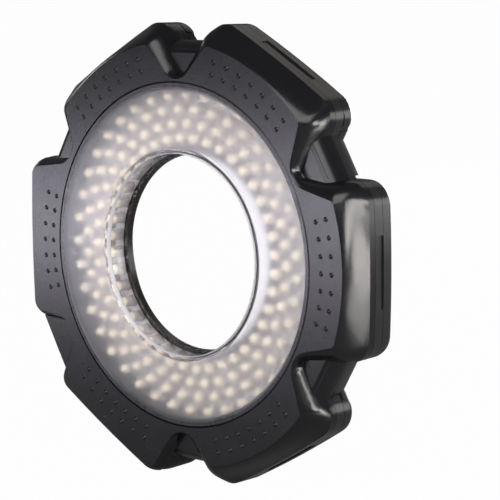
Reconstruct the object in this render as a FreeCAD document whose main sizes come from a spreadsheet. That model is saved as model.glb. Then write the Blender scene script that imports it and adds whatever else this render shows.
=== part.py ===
import FreeCAD, Part

import math
import os

import Sketcher

from FreeCAD import Placement, Rotation, Vector

# Macro ring light: six battery lobes round a ring of LEDs, with a control pod in one notch.
# Every piece is drawn lying on its back: the light's face is the plane Z = 0, it looks along +Z,
# and a depth is a distance behind the face. FINAL then stands the light up, facing -Y.

LOBES = 6
LOBE_STEP = 360.0 / LOBES
POD_LOBES = (3, 4)
POD_ANGLE = 210.0
RINGS = 4
LEDS_PER_RING = 40
BUMPS_PER_ROW = 7
DOOR_GROOVES = 4
WHEEL_TEETH = 24

# How far a shape runs past the face that it cuts or joins.
OVERRUN = 1.0

SIZES = [
    # Shell
    ("body_depth", 26.0, "thickness of the whole light"),
    ("parting_depth", 14.0, "where the rear cover starts"),
    ("seam", 0.2, "gap that shows between two shells"),
    ("wall", 2.0, "wall of the moulded shells"),
    ("seat_depth", 19.0, "face that the lens adapter bears on; the origin lies here"),
    ("front_edge", 91.3, "centre to a lobe's outer edge, at the face"),
    ("widest_edge", 96.7, "centre to a lobe's outer edge, behind the crease"),
    ("flank_station", 84.0, "distance out at which the half widths are taken"),
    ("front_half", 30.3, "half width of a lobe at the face"),
    ("widest_half", 36.9, "half width of a lobe at the crease"),
    ("rear_half", 36.4, "half width of a lobe at the back"),
    ("front_taper", 13.5, "flank's taper at the face, degrees"),
    ("crease_depth", 10.5, "depth of the crease, behind which the sides run straight"),
    ("straight_radius", 600.0, "radius of the nearly straight deep edge"),
    ("face_chamfer", 0.4, "chamfer round the face"),
    ("front_corner", 3.2, "corner radius at the face"),
    ("deep_corner", 10.0, "corner radius behind the crease"),
    ("front_valley", 9.0, "radius of the notch's bottom at the face"),
    ("deep_valley", 2.6, "radius of the notch's bottom behind it"),
    ("valley_depth", 5.0, "depth at which the bottom has tightened"),
    ("upper_pod_edge", 92.4, "edge of the lobe above the pod, at the face"),
    ("lower_pod_edge", 94.0, "edge of the lobe below the pod, at the face"),
    ("pod_front_half", 33.7, "half width of those two lobes, at the face"),
    ("pod_front_taper", 7.0, "taper of their flanks, degrees"),
    ("pod_front_corner", 5.0, "corner radius of those two lobes"),
    # Core that closes the notches
    ("notch_floor", 5.0, "depth of the flat floor in each notch"),
    ("core_front", 86.4, "centre to the notch's outer edge, at the floor"),
    ("core_widest", 90.9, "centre to the notch wall at its widest"),
    ("core_widest_depth", 11.5, "depth of the widest notch wall"),
    ("core_rear", 89.0, "centre to the notch wall at its back"),
    ("core_depth", 23.0, "back of the notch wall"),
    ("core_half", 14.0, "half width of the core's flats"),
    ("edge_chamfer", 0.8, "chamfer along the core's edges"),
    ("back_radius", 75.7, "raised disc in the middle of the back"),
    ("back_chamfer", 1.0, "chamfer round that disc"),
    # Bumps
    ("bump_row_outer", 85.4, "outer row of bumps"),
    ("bump_row_inner", 80.0, "inner row of bumps"),
    ("bump_step", 5.0, "angle between bumps, degrees"),
    ("bump_radius", 1.1, "radius of a bump"),
    ("bump_height", 0.5, "height of a bump"),
    ("bump_shift", 2.0, "how much nearer the rows lie on the first pod lobe"),
    # Light window
    ("diffuser_radius", 71.6, "outside of the diffuser"),
    ("plate", 2.0, "thickness of the diffuser's front plate"),
    ("throat_radius", 43.8, "clear wall of the lens opening"),
    ("throat_wall", 1.5, "thickness of the clear wall"),
    ("rim_radius", 2.5, "rounding between plate and clear wall"),
    ("throat_chamfer", 1.0, "chamfer behind that rounding"),
    ("bezel_width", 2.0, "width of the bezel ring"),
    ("bezel_chamfer", 0.4, "chamfer round the bezel"),
    ("groove", 0.4, "dark groove round the bezel"),
    ("slip", 0.1, "clearance between fitted pieces"),
    ("loose", 0.4, "clearance round boards and screws"),
    ("ledge", 3.3, "width of the ledge that carries the diffuser"),
    ("skirt", 1.8, "wall round the light chamber"),
    ("collar_radius", 42.3, "dark collar behind the clear wall"),
    ("collar_front", 11.4, "front of the collar"),
    ("collar_rear", 14.7, "back of the collar's narrow part"),
    ("flange_radius", 49.0, "collar's hidden flange"),
    ("flange", 1.3, "thickness of that flange"),
    # LEDs and their board
    ("board", 1.6, "thickness of the circuit boards"),
    ("board_lip", 0.9, "overlap of the LED board on the skirt"),
    ("ring_first", 49.6, "innermost ring of LEDs"),
    ("ring_pitch", 6.25, "distance from ring to ring"),
    ("led_radius", 2.5, "radius of an LED"),
    ("led_body", 6.1, "height of an LED's straight body"),
    ("led_dome", 2.5, "height of its dome"),
    ("led_tip", 1.2, "radius of the dome's flat tip"),
    # Rear opening for the adapter
    ("seat_plate", 2.0, "plate that the adapter seats on"),
    ("seat_hole", 46.6, "opening in that plate"),
    ("adapter_bore", 51.0, "bore that the adapter slides into"),
    ("bore_length", 4.3, "length of that bore"),
    ("mouth_radius", 54.5, "flared mouth at the back"),
    ("bore_wall", 2.2, "wall round the bore"),
    ("driver_bay", 73.4, "outside of the room for the driver board"),
    ("ear_radius", 2.8, "ears of the LED board"),
    ("ear_room", 0.3, "room round the ears"),
    # Batteries: one AA cell in each lobe
    ("cell_radius", 7.25, "AA cell"),
    ("cell_length", 50.5, "AA cell with its nub"),
    ("nub_radius", 2.75, "cell's nub"),
    ("nub_length", 1.0, "cell's nub"),
    ("cell_out", 84.8, "centre to the cell's axis"),
    ("cell_depth", 15.0, "depth of the cell's axis"),
    ("cell_slip", 0.2, "room round the cell"),
    ("trough_wall", 1.2, "wall of the battery trough"),
    ("contact", 0.4, "contact plate"),
    ("contact_width", 10.0, "contact plate"),
    ("spring_room", 3.0, "length of the squeezed contact spring"),
    ("spring_wide", 4.2, "wide end of the spring"),
    ("spring_narrow", 2.4, "narrow end of the spring"),
    ("spring_eye", 1.4, "hole through the spring"),
    # Battery doors
    ("door_inner", 76.1, "centre to a door's straight inner edge"),
    ("door_gap", 0.2, "gap round a door"),
    ("door_wall", 1.8, "wall of a door"),
    ("door_round", 2.4, "rounding of a door's back edge"),
    ("grip_half", 15.0, "half length of the thumb recess below a door"),
    ("grip_depth", 0.8, "depth of that recess"),
    ("grip_lip", 0.8, "lip in front of that recess"),
    ("hinge_half", 34.6, "lobe's middle to the hinge axis"),
    ("hinge_depth", 23.4, "depth of the hinge axis"),
    ("hinge_start", 77.4, "centre to the near end of the hinge"),
    ("hinge_length", 9.6, "length of the hinge"),
    ("lug", 2.0, "thickness of a hinge lug"),
    ("lug_root", 1.2, "how deep a lug grows out of the cover"),
    ("barrel_radius", 1.6, "radius of the hinge barrel"),
    ("pin_radius", 0.8, "hinge pin"),
    ("pin_slip", 0.05, "running clearance on the pin"),
    ("hinge_slip", 0.3, "gap between lug and knuckle"),
    ("swing_room", 0.5, "how much higher the door's rim ends beyond the hinge axis"),
    ("catch_start", 79.5, "centre to the near side of the catch"),
    ("catch_width", 6.0, "width of the catch"),
    ("catch_thick", 1.6, "thickness of the door's catch tongue"),
    ("catch_root", 0.8, "how far the tongue is set into the door's wall"),
    ("catch_reach", 2.5, "how far the tongue reaches into the rear cover"),
    ("nail_deep", 0.6, "depth of the nail notch in the door's rim"),
    ("nail_high", 1.6, "height of that notch"),
    ("rib_wide", 1.2, "width of a grip groove in a door's back"),
    ("rib_pitch", 2.4, "distance from groove to groove"),
    ("rib_deep", 0.5, "depth of a grip groove"),
    ("rib_long", 12.0, "length of a grip groove"),
    ("rib_start", 18.0, "lobe's middle to the first groove"),
    # Screws
    ("case_screw_out", 83.0, "centre to a case screw"),
    ("case_screw", 1.45, "radius of a case screw"),
    ("case_head", 2.5, "radius of its head"),
    ("case_head_high", 1.6, "height of its head"),
    ("case_screw_long", 11.0, "length of a case screw"),
    ("case_boss", 3.2, "radius of the boss it screws into"),
    ("head_room", 0.3, "room round a screw's head"),
    ("board_screw_out", 77.2, "centre to an LED board screw"),
    ("board_screw", 1.0, "radius of a board screw"),
    ("board_head", 1.8, "radius of its head"),
    ("board_head_high", 1.1, "height of its head"),
    ("board_screw_long", 5.0, "length of a board screw"),
    ("board_boss", 1.9, "radius of the boss it screws into"),
    # Control pod
    ("pod_floor", 3.0, "depth of the pod's front"),
    ("pod_front", 94.3, "centre to the pod's outer edge, in front"),
    ("pod_widest", 97.0, "centre to the pod's outer face at its widest"),
    ("pod_widest_depth", 12.0, "depth of the widest place"),
    ("pod_rear", 95.5, "centre to the pod's outer face at the back"),
    ("pod_depth", 24.2, "back of the pod"),
    ("pod_root", 72.0, "where the pod's sides would meet"),
    ("pod_rear_root", 78.6, "the same for its narrower back half"),
    ("pod_wall", 3.8, "thickness of the pod's outer wall at its widest"),
    ("pod_inner_start", 80.0, "inside of the pod, near end"),
    ("pod_room_half", 10.8, "half width of the room in the pod's front half"),
    ("control_board_start", 82.5, "near end of the control board"),
    ("control_board_half", 9.0, "half width of the control board"),
    ("wheel_proud", 1.2, "how far the dimmer wheel stands out of the pod"),
    ("wheel_side", -4.0, "wheel's axis from the pod's middle"),
    ("wheel_radius", 6.6, "dimmer wheel"),
    ("wheel_thick", 3.6, "dimmer wheel"),
    ("wheel_room", 0.4, "room round the wheel"),
    ("wheel_shaft", 1.5, "wheel's shaft"),
    ("wheel_notch", 0.35, "depth of the wheel's knurling"),
    ("pot_side", 9.0, "potentiometer's square body"),
    ("pot_high", 2.2, "potentiometer's height"),
    ("socket_side", 6.8, "power socket's middle from the pod's middle"),
    ("socket_width", 7.2, "power socket, square section"),
    ("socket_long", 11.0, "power socket"),
    ("socket_bore", 2.9, "socket's hole"),
    ("socket_pin", 0.9, "socket's centre pin"),
    ("socket_bore_long", 9.0, "depth of that hole"),
    ("switch_body_half", 4.25, "half width of the switch's body"),
    ("switch_body_long", 3.7, "switch's body, outwards"),
    ("switch_body_high", 5.0, "switch's body, in depth"),
    ("switch_depth", 16.8, "depth of the switch's knob"),
    ("knob_width", 3.6, "switch knob along its travel"),
    ("knob_high", 2.4, "switch knob across its travel"),
    ("knob_proud", 1.0, "how far the knob stands out of the pod"),
    ("knob_travel", 3.0, "travel of the knob"),
    ("knob_room", 0.2, "room round the knob in its slot"),
    # Driver board
    ("driver_inner", 55.2, "inside of the driver board"),
    ("driver_outer", 72.4, "outside of the driver board"),
    ("driver_depth", 17.5, "front of the driver board"),
    ("driver_span", 120.0, "angle that the driver board covers, degrees"),
    ("driver_post", 2.2, "posts under the driver board"),
    ("driver_post_out", 64.0, "centre to a post"),
    ("driver_post_step", 50.0, "angle from post to post, degrees"),
    ("back_wall", 2.0, "back wall over the driver board"),
    ("coil_radius", 4.5, "driver's coil"),
    ("coil_high", 4.0, "driver's coil"),
    ("capacitor_radius", 2.3, "smoothing capacitor"),
    ("capacitor_long", 9.0, "smoothing capacitor"),
    ("chip_long", 6.0, "driver chip"),
    ("chip_width", 5.0, "driver chip"),
    ("chip_high", 1.6, "driver chip"),
]


class Size:
    """A length as its number and as the sheet expression that gives it."""

    def __init__(self, value, text):
        self.value = value
        self.text = text

    def __add__(self, other):
        other = as_size(other)
        return Size(self.value + other.value, "(%s + %s)" % (self.text, other.text))

    def __sub__(self, other):
        other = as_size(other)
        return Size(self.value - other.value, "(%s - %s)" % (self.text, other.text))

    def __mul__(self, factor):
        factor = as_size(factor)
        return Size(self.value * factor.value, "(%s * %s)" % (self.text, factor.text))

    def __neg__(self):
        return Size(-self.value, "(0 - %s)" % self.text)

    def __float__(self):
        return float(self.value)


def as_size(value):
    if isinstance(value, Size):
        return value
    return Size(float(value), "%.9f" % value)


class Sheet:
    """The spreadsheet of driving sizes, each readable as an attribute."""

    def __init__(self, document, rows):
        self.cells = document.addObject("Spreadsheet::Sheet", "Sizes")
        for number, (alias, value, note) in enumerate(rows, start=1):
            self.cells.set("A%d" % number, note)
            self.cells.set("B%d" % number, str(value))
            self.cells.setAlias("B%d" % number, alias)
        document.recompute()
        for alias, value, note in rows:
            number = float(getattr(self.cells, alias))
            setattr(self, alias, Size(number, "Sizes." + alias))


doc = FreeCAD.newDocument("MacroRingLight")
size = Sheet(doc, SIZES)
FINAL = Placement(Vector(0, -size.seat_depth.value, 0), Rotation(Vector(1, 0, 0), 90))
sub_parts = []


def finish(thing, label, turn=0.0):
    """Name a sub-part and stand it up; turn carries it round the ring first."""
    thing.Label = label
    thing.Placement = FINAL * Placement(Vector(), Rotation(Vector(0, 0, 1), turn))
    sub_parts.append(thing)
    return thing


def bind(thing, **values):
    for name, value in values.items():
        value = as_size(value)
        setattr(thing, name, value.value)
        thing.setExpression(name, value.text)


def put(thing, x, y, z, rotation=None):
    """Place a primitive, each coordinate bound to the sheet."""
    spot = [as_size(value) for value in (x, y, z)]
    thing.Placement = Placement(Vector(*[value.value for value in spot]), rotation or Rotation())
    for axis, value in zip("xyz", spot):
        thing.setExpression("Placement.Base." + axis, value.text)


def polar(out, side, angle):
    """The point that lies out along a direction and side across it."""
    cos = math.cos(math.radians(angle))
    sin = math.sin(math.radians(angle))
    out = as_size(out)
    side = as_size(side)
    return out * cos - side * sin, out * sin + side * cos


def disc(name, radius, front, back, out=0.0, side=0.0, angle=0.0):
    """A cylinder along the light's axis, between two depths."""
    thing = doc.addObject("Part::Cylinder", name)
    bind(thing, Radius=radius, Height=as_size(back) - front)
    x, y = polar(out, side, angle)
    put(thing, x, y, -as_size(back))
    return thing


def rod(name, radius, start, length, side, depth, angle=0.0):
    """A cylinder that points outwards, away from the light's axis."""
    thing = doc.addObject("Part::Cylinder", name)
    bind(thing, Radius=radius, Height=length)
    x, y = polar(start, side, angle)
    turn = Rotation(Vector(0, 0, 1), angle) * Rotation(Vector(0, 1, 0), 90)
    put(thing, x, y, -as_size(depth), turn)
    return thing


def bar(name, radius, out, low, length, depth, angle=0.0):
    """A cylinder across a lobe, from low upwards."""
    thing = doc.addObject("Part::Cylinder", name)
    bind(thing, Radius=radius, Height=length)
    x, y = polar(out, low, angle)
    turn = Rotation(Vector(0, 0, 1), angle) * Rotation(Vector(1, 0, 0), -90)
    put(thing, x, y, -as_size(depth), turn)
    return thing


def block(name, out, width, low, length, front, back, angle=0.0):
    """A box from out outwards, from low across, between two depths."""
    thing = doc.addObject("Part::Box", name)
    bind(thing, Length=width, Width=length, Height=as_size(back) - front)
    x, y = polar(out, low, angle)
    put(thing, x, y, -as_size(back), Rotation(Vector(0, 0, 1), angle))
    return thing


def cone(name, front_radius, back_radius, front, back):
    thing = doc.addObject("Part::Cone", name)
    bind(thing, Radius1=back_radius, Radius2=front_radius, Height=as_size(back) - front)
    put(thing, 0, 0, -as_size(back))
    return thing


def fuse(name, things):
    thing = doc.addObject("Part::MultiFuse", name)
    thing.Shapes = things
    return thing


def cut(name, base, tools):
    thing = doc.addObject("Part::Cut", name)
    thing.Base = base
    thing.Tool = tools[0] if len(tools) == 1 else fuse(name + "Tools", tools)
    return thing


def loft(name, wires, ruled=False):
    thing = doc.addObject("Part::Loft", name)
    sections = []
    for number, wire in enumerate(wires):
        section = doc.addObject("Part::Feature", "%sSection%d" % (name, number))
        section.Shape = wire
        sections.append(section)
    thing.Sections = sections
    thing.Solid = True
    thing.Ruled = ruled
    return thing


def repeat(source, label, turns, first=0.0):
    """Copies of one solid round the ring, as one sub-part of separate solids."""
    doc.recompute()
    solids = []
    for turn in turns:
        copy = source.Shape.copy()
        copy.rotate(Vector(), Vector(0, 0, 1), turn + first)
        solids.append(copy)
    group = doc.addObject("Part::Feature", label.title().replace("_", ""))
    group.Shape = Part.makeCompound(solids)
    return finish(group, label)


def copies(source, label):
    """Six sub-parts, one in each lobe, from a solid drawn in the first lobe."""
    doc.recompute()
    for lobe in range(LOBES):
        name = "%s_%d" % (label, lobe + 1)
        piece = doc.addObject("Part::Feature", name.title().replace("_", ""))
        piece.Shape = source.Shape.copy()
        finish(piece, name, lobe * LOBE_STEP)


# Lobe outlines


def barrel(depth, widest, widest_depth, front, rear, front_depth, rear_depth):
    """A side that swells from front to widest and draws in again to rear."""
    if depth < widest_depth:
        share = (widest_depth - depth) / (widest_depth - front_depth)
        return widest - (widest - front) * share ** 2
    share = (depth - widest_depth) / (rear_depth - widest_depth)
    return widest - (widest - rear) * share ** 2


def front_reach(lobe):
    """Centre to a lobe's outer edge, at the face."""
    if lobe == POD_LOBES[0]:
        return float(size.upper_pod_edge)
    if lobe == POD_LOBES[1]:
        return float(size.lower_pod_edge)
    return float(size.front_edge)


def lobe_profile(depth, lobe, inset=0.0):
    """Edge, edge radius, half width, taper and corner radius of a lobe at one depth."""
    beside_pod = lobe in POD_LOBES
    front_edge = front_reach(lobe)
    front_half = float(size.pod_front_half if beside_pod else size.front_half)
    front_taper = float(size.pod_front_taper if beside_pod else size.front_taper)
    front_corner = float(size.pod_front_corner if beside_pod else size.front_corner)
    front_radius = float(size.straight_radius) if beside_pod else front_edge
    crease = float(size.crease_depth)
    early = max(0.0, 1.0 - depth / crease)
    edge = front_edge * early + float(size.widest_edge) * (1.0 - early)
    widest = float(size.widest_half)
    half = widest - (widest - front_half) * early ** 2
    if depth > crease:
        draft = (depth - crease) / (float(size.body_depth) - crease)
        half -= (widest - float(size.rear_half)) * draft
    taper = math.radians(front_taper * early)
    radius = 1.0 / (early / front_radius + (1.0 - early) / float(size.straight_radius))
    corner = front_corner * early + float(size.deep_corner) * (1.0 - early)
    half -= inset / math.cos(taper)
    corner = max(corner - inset, float(size.front_corner) / 4.0)
    return edge - inset, radius - inset, half, taper, corner


def lobe_corner(profile):
    """Points of a lobe's upper corner: on its edge, on the rounding and on its flank."""
    edge, radius, half, taper, corner = profile
    station = float(size.flank_station)
    middle = edge - radius
    slope = math.tan(taper)
    level = half - corner / math.cos(taper) + slope * station
    # The corner's centre lies on the flank moved inwards and on the edge moved inwards.
    square = 1.0 + slope ** 2
    linear = -2.0 * (middle + slope * level)
    rest = middle ** 2 + level ** 2 - (radius - corner) ** 2
    x = (-linear + math.sqrt(linear ** 2 - 4.0 * square * rest)) / (2.0 * square)
    centre = Vector(x, level - slope * x, 0)
    to_edge = centre - Vector(middle, 0, 0)
    to_edge.normalize()
    to_flank = Vector(math.sin(taper), math.cos(taper), 0)
    between = to_edge + to_flank
    between.normalize()
    return centre + to_edge * corner, centre + between * corner, centre + to_flank * corner


def turned(point, lobe, depth, mirrored=False):
    side = -point.y if mirrored else point.y
    angle = math.radians(lobe * LOBE_STEP)
    x = point.x * math.cos(angle) - side * math.sin(angle)
    y = point.x * math.sin(angle) + side * math.cos(angle)
    return Vector(x, y, -depth)


def valley(depth, lobe, inset):
    """Start, middle and end of the rounding between a lobe and the next one."""
    following = (lobe + 1) % LOBES
    early = max(0.0, 1.0 - depth / float(size.valley_depth))
    radius = float(size.front_valley) * early + float(size.deep_valley) * (1.0 - early) + inset
    lines = []
    for number, mirrored in ((lobe, False), (following, True)):
        edge, edge_radius, half, taper, corner = lobe_profile(depth, number, inset)
        station = Vector(float(size.flank_station), half, 0)
        ahead = station + Vector(math.cos(taper), -math.sin(taper), 0)
        start = turned(station, number, depth, mirrored)
        lines.append((start, turned(ahead, number, depth, mirrored) - start))
    (first, along), (second, across) = lines
    gap = second - first
    determinant = along.x * across.y - along.y * across.x
    reach = (gap.x * across.y - gap.y * across.x) / determinant
    meeting = first + along * reach
    bisector = along + across
    bisector.normalize()
    half_angle = math.acos(along.dot(bisector))
    centre = meeting + bisector * (radius / math.sin(half_angle))
    run = radius / math.tan(half_angle)
    return meeting + along * run, centre - bisector * radius, meeting + across * run


def outline(depth, inset=0.0):
    """The whole six-lobed outline at one depth."""
    edges = []
    for lobe in range(LOBES):
        following = (lobe + 1) % LOBES
        profile = lobe_profile(depth, lobe, inset)
        on_edge, on_corner, on_flank = lobe_corner(profile)
        tip = Vector(profile[0], 0, 0)
        next_flank = lobe_corner(lobe_profile(depth, following, inset))[2]
        valley_start, valley_middle, valley_end = valley(depth, lobe, inset)
        edges.append(Part.Arc(turned(on_flank, lobe, depth, True),
                              turned(on_corner, lobe, depth, True),
                              turned(on_edge, lobe, depth, True)).toShape())
        edges.append(Part.Arc(turned(on_edge, lobe, depth, True), turned(tip, lobe, depth),
                              turned(on_edge, lobe, depth)).toShape())
        edges.append(Part.Arc(turned(on_edge, lobe, depth), turned(on_corner, lobe, depth),
                              turned(on_flank, lobe, depth)).toShape())
        edges.append(Part.LineSegment(turned(on_flank, lobe, depth), valley_start).toShape())
        edges.append(Part.Arc(valley_start, valley_middle, valley_end).toShape())
        edges.append(Part.LineSegment(valley_end,
                                      turned(next_flank, following, depth, True)).toShape())
    return Part.Wire(edges)


def door_outline(depth, inset=0.0, inner_inset=0.0):
    """One lobe's outline, closed by the door's straight inner edge."""
    profile = lobe_profile(depth, 0, inset)
    on_edge, on_corner, on_flank = lobe_corner(profile)
    inner = Vector(float(size.door_inner) + inner_inset, on_flank.y, 0)
    tip = Vector(profile[0], 0, 0)
    flank = turned(on_flank, 0, depth)
    low_flank = turned(on_flank, 0, depth, True)
    edges = [
        Part.Arc(low_flank, turned(on_corner, 0, depth, True),
                 turned(on_edge, 0, depth, True)).toShape(),
        Part.Arc(turned(on_edge, 0, depth, True), turned(tip, 0, depth),
                 turned(on_edge, 0, depth)).toShape(),
        Part.Arc(turned(on_edge, 0, depth), turned(on_corner, 0, depth), flank).toShape(),
        Part.LineSegment(flank, turned(inner, 0, depth)).toShape(),
        Part.LineSegment(turned(inner, 0, depth), turned(inner, 0, depth, True)).toShape(),
        Part.LineSegment(turned(inner, 0, depth, True), low_flank).toShape(),
    ]
    return Part.Wire(edges)


def core_outline(depth, inset=0.0):
    """Twelve-sided outline whose long sides close the notches."""
    reach = barrel(depth, float(size.core_widest), float(size.core_widest_depth),
                   float(size.core_front), float(size.core_rear),
                   float(size.notch_floor), float(size.core_depth)) - inset
    half = float(size.core_half)
    points = []
    for lobe in range(LOBES):
        angle = math.radians((lobe + 0.5) * LOBE_STEP)
        for side in (-half, half):
            x = reach * math.cos(angle) - side * math.sin(angle)
            y = reach * math.sin(angle) + side * math.cos(angle)
            points.append(Vector(x, y, -depth))
    return Part.makePolygon(points + points[:1])


def pod_outline(depth, root, inset=0.0):
    """The pod's wedge, which fills the notch between two lobes."""
    reach = barrel(depth, float(size.pod_widest), float(size.pod_widest_depth),
                   float(size.pod_front), float(size.pod_rear),
                   float(size.pod_floor), float(size.pod_depth)) - inset
    slope = math.tan(math.radians(LOBE_STEP / 2.0))
    near = float(root) + float(size.wall)
    corners = [(near, -(near - float(root)) * slope), (reach, -(reach - float(root)) * slope),
               (reach, (reach - float(root)) * slope), (near, (near - float(root)) * slope)]
    points = []
    for out, side in corners:
        x, y = polar(out, side, POD_ANGLE)
        points.append(Vector(x.value, y.value, -depth))
    return Part.makePolygon(points + points[:1])


def notch_angles(with_pod):
    """Directions of the notches, with or without the one that holds the pod."""
    angles = [(lobe + 0.5) * LOBE_STEP for lobe in range(LOBES)]
    return [angle for angle in angles if with_pod or abs(angle - POD_ANGLE) > 1.0]


def lobe_angles():
    return [lobe * LOBE_STEP for lobe in range(LOBES)]


# Radii that several pieces share
bezel_outer = size.diffuser_radius + size.slip + size.bezel_width
window_radius = bezel_outer + size.groove
ledge_radius = window_radius - size.ledge
skirt_radius = window_radius + size.skirt
board_radius = window_radius + size.board_lip
collar_outer = size.throat_radius + size.throat_wall
board_hole = collar_outer + size.loose
board_back = size.parting_depth + size.board
front_back = size.parting_depth - size.seam
cell_half = size.cell_length * 0.5
trough_low = -(cell_half + size.spring_room + size.contact)
trough_high = cell_half + size.contact
trough_inner = size.cell_radius + size.cell_slip
trough_outer = trough_inner + size.trough_wall
seat_front = size.seat_depth - size.seat_plate
bore_back = size.seat_depth + size.bore_length
bay_inner = size.adapter_bore + size.bore_wall
bay_back = size.body_depth - size.back_wall
head_seat = size.core_depth - size.case_head_high - size.loose
door_top = size.seat_depth
door_rim = door_top + size.door_gap
hinge_end = size.hinge_start + size.hinge_length
tongue_low = size.rear_half - size.door_wall - size.catch_thick
tongue_thick = size.catch_thick + size.catch_root
pod_inner = size.pod_widest - size.pod_wall
wheel_out = size.pod_widest + size.wheel_proud - size.wheel_radius
wheel_front = size.parting_depth - size.board - size.pot_high - size.wheel_thick


def bump_caps():
    """Two rows of moulded bumps on every lobe."""
    radius = float(size.bump_radius)
    height = float(size.bump_height)
    ball = (radius ** 2 + height ** 2) / (2.0 * height)
    sink = ball - height
    foot = math.degrees(math.asin((sink - height) / ball))
    caps = []
    for lobe in range(LOBES):
        shift = float(size.bump_shift) if lobe == POD_LOBES[0] else 0.0
        for row in (size.bump_row_outer, size.bump_row_inner):
            for number in range(BUMPS_PER_ROW):
                along = (number - (BUMPS_PER_ROW - 1) / 2.0) * float(size.bump_step)
                angle = math.radians(lobe * LOBE_STEP + along)
                reach = float(row) - shift
                spot = Vector(reach * math.cos(angle), reach * math.sin(angle), -sink)
                caps.append(Part.makeSphere(ball, spot, Vector(0, 0, 1), foot, 90.0, 360.0))
    return caps


def make_front_cover():
    floor = float(size.notch_floor)
    chamfer = float(size.edge_chamfer)
    back = float(front_back)
    crease = float(size.crease_depth)
    rim = float(size.face_chamfer)
    face_edge = loft("FaceEdge", [outline(0.0, rim), outline(rim)], ruled=True)
    flared = loft("FrontFlared", [outline(rim), outline(floor), outline(crease)])
    straight = loft("FrontStraight", [outline(crease), outline(back)], ruled=True)
    core_edge = loft("FrontCoreEdge",
                     [core_outline(floor, chamfer), core_outline(floor + chamfer)], ruled=True)
    core = loft("FrontCore", [core_outline(floor + chamfer), core_outline(crease),
                              core_outline(back)])
    pod_start = float(size.pod_floor)
    pod_edge = loft("PodEdge", [pod_outline(pod_start, size.pod_root, chamfer),
                                pod_outline(pod_start + chamfer, size.pod_root)], ruled=True)
    pod = loft("PodFront", [pod_outline(pod_start + chamfer, size.pod_root),
                            pod_outline(crease, size.pod_root),
                            pod_outline(back, size.pod_root)])
    solid = fuse("FrontSolid", [face_edge, flared, straight, core_edge, core, pod_edge, pod])

    wall = float(size.wall)
    hollow = loft("FlaredHollow", [outline(wall, wall), outline(floor, wall),
                                   outline(crease, wall)])
    deep_hollow = loft("StraightHollow", [outline(crease, wall), outline(back + OVERRUN, wall)],
                       ruled=True)
    core_hollow = loft("CoreHollow", [core_outline(floor + wall, wall),
                                      core_outline(crease, wall),
                                      core_outline(back + OVERRUN, wall)])
    skirt = disc("SkirtKeep", skirt_radius, 0.0, size.parting_depth + OVERRUN * 2)
    hollows = cut("FrontHollow", fuse("Hollows", [hollow, deep_hollow, core_hollow]), [skirt])
    cutters = [
        hollows,
        disc("WindowRecess", window_radius, -OVERRUN, size.plate),
        disc("WindowHole", ledge_radius, 0.0, size.parting_depth),
        disc("LightChamber", window_radius, size.plate + size.wall, size.parting_depth),
        block("PodRoom", size.pod_inner_start, pod_inner - size.pod_inner_start,
              -size.pod_room_half, size.pod_room_half * 2, size.pod_floor + size.wall,
              size.parting_depth, POD_ANGLE),
        disc("WheelSlot", size.wheel_radius + size.wheel_room, wheel_front - size.wheel_room,
             size.parting_depth - size.board - size.pot_high + size.wheel_room,
             wheel_out, size.wheel_side, POD_ANGLE),
        rod("SocketHole", size.socket_bore + size.loose, pod_inner - OVERRUN,
            size.pod_wall + OVERRUN * 2, size.socket_side,
            size.parting_depth - size.board - size.socket_width * 0.5, POD_ANGLE),
    ]
    shell = cut("FrontOpened", solid, cutters)
    bosses = []
    holes = []
    boss_front = size.notch_floor + size.wall * 0.5
    for angle in notch_angles(with_pod=False):
        name = "CaseBoss%d" % angle
        bosses.append(disc(name, size.case_boss, boss_front, size.parting_depth,
                           size.case_screw_out, 0.0, angle))
        holes.append(disc(name + "Hole", size.case_screw, size.notch_floor + size.wall,
                          size.parting_depth + OVERRUN, size.case_screw_out, 0.0, angle))
    for angle in notch_angles(with_pod=True):
        name = "BoardBoss%d" % angle
        bosses.append(disc(name, size.board_boss, boss_front, size.parting_depth,
                           size.board_screw_out, 0.0, angle))
        holes.append(disc(name + "Hole", size.board_screw, size.notch_floor + size.wall,
                          size.parting_depth + OVERRUN, size.board_screw_out, 0.0, angle))
    caps = doc.addObject("Part::Feature", "Bumps")
    caps.Shape = Part.makeCompound(bump_caps())
    whole = fuse("FrontWhole", [shell, caps] + bosses)
    finish(cut("FrontCover", whole, holes), "front_cover")


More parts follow.
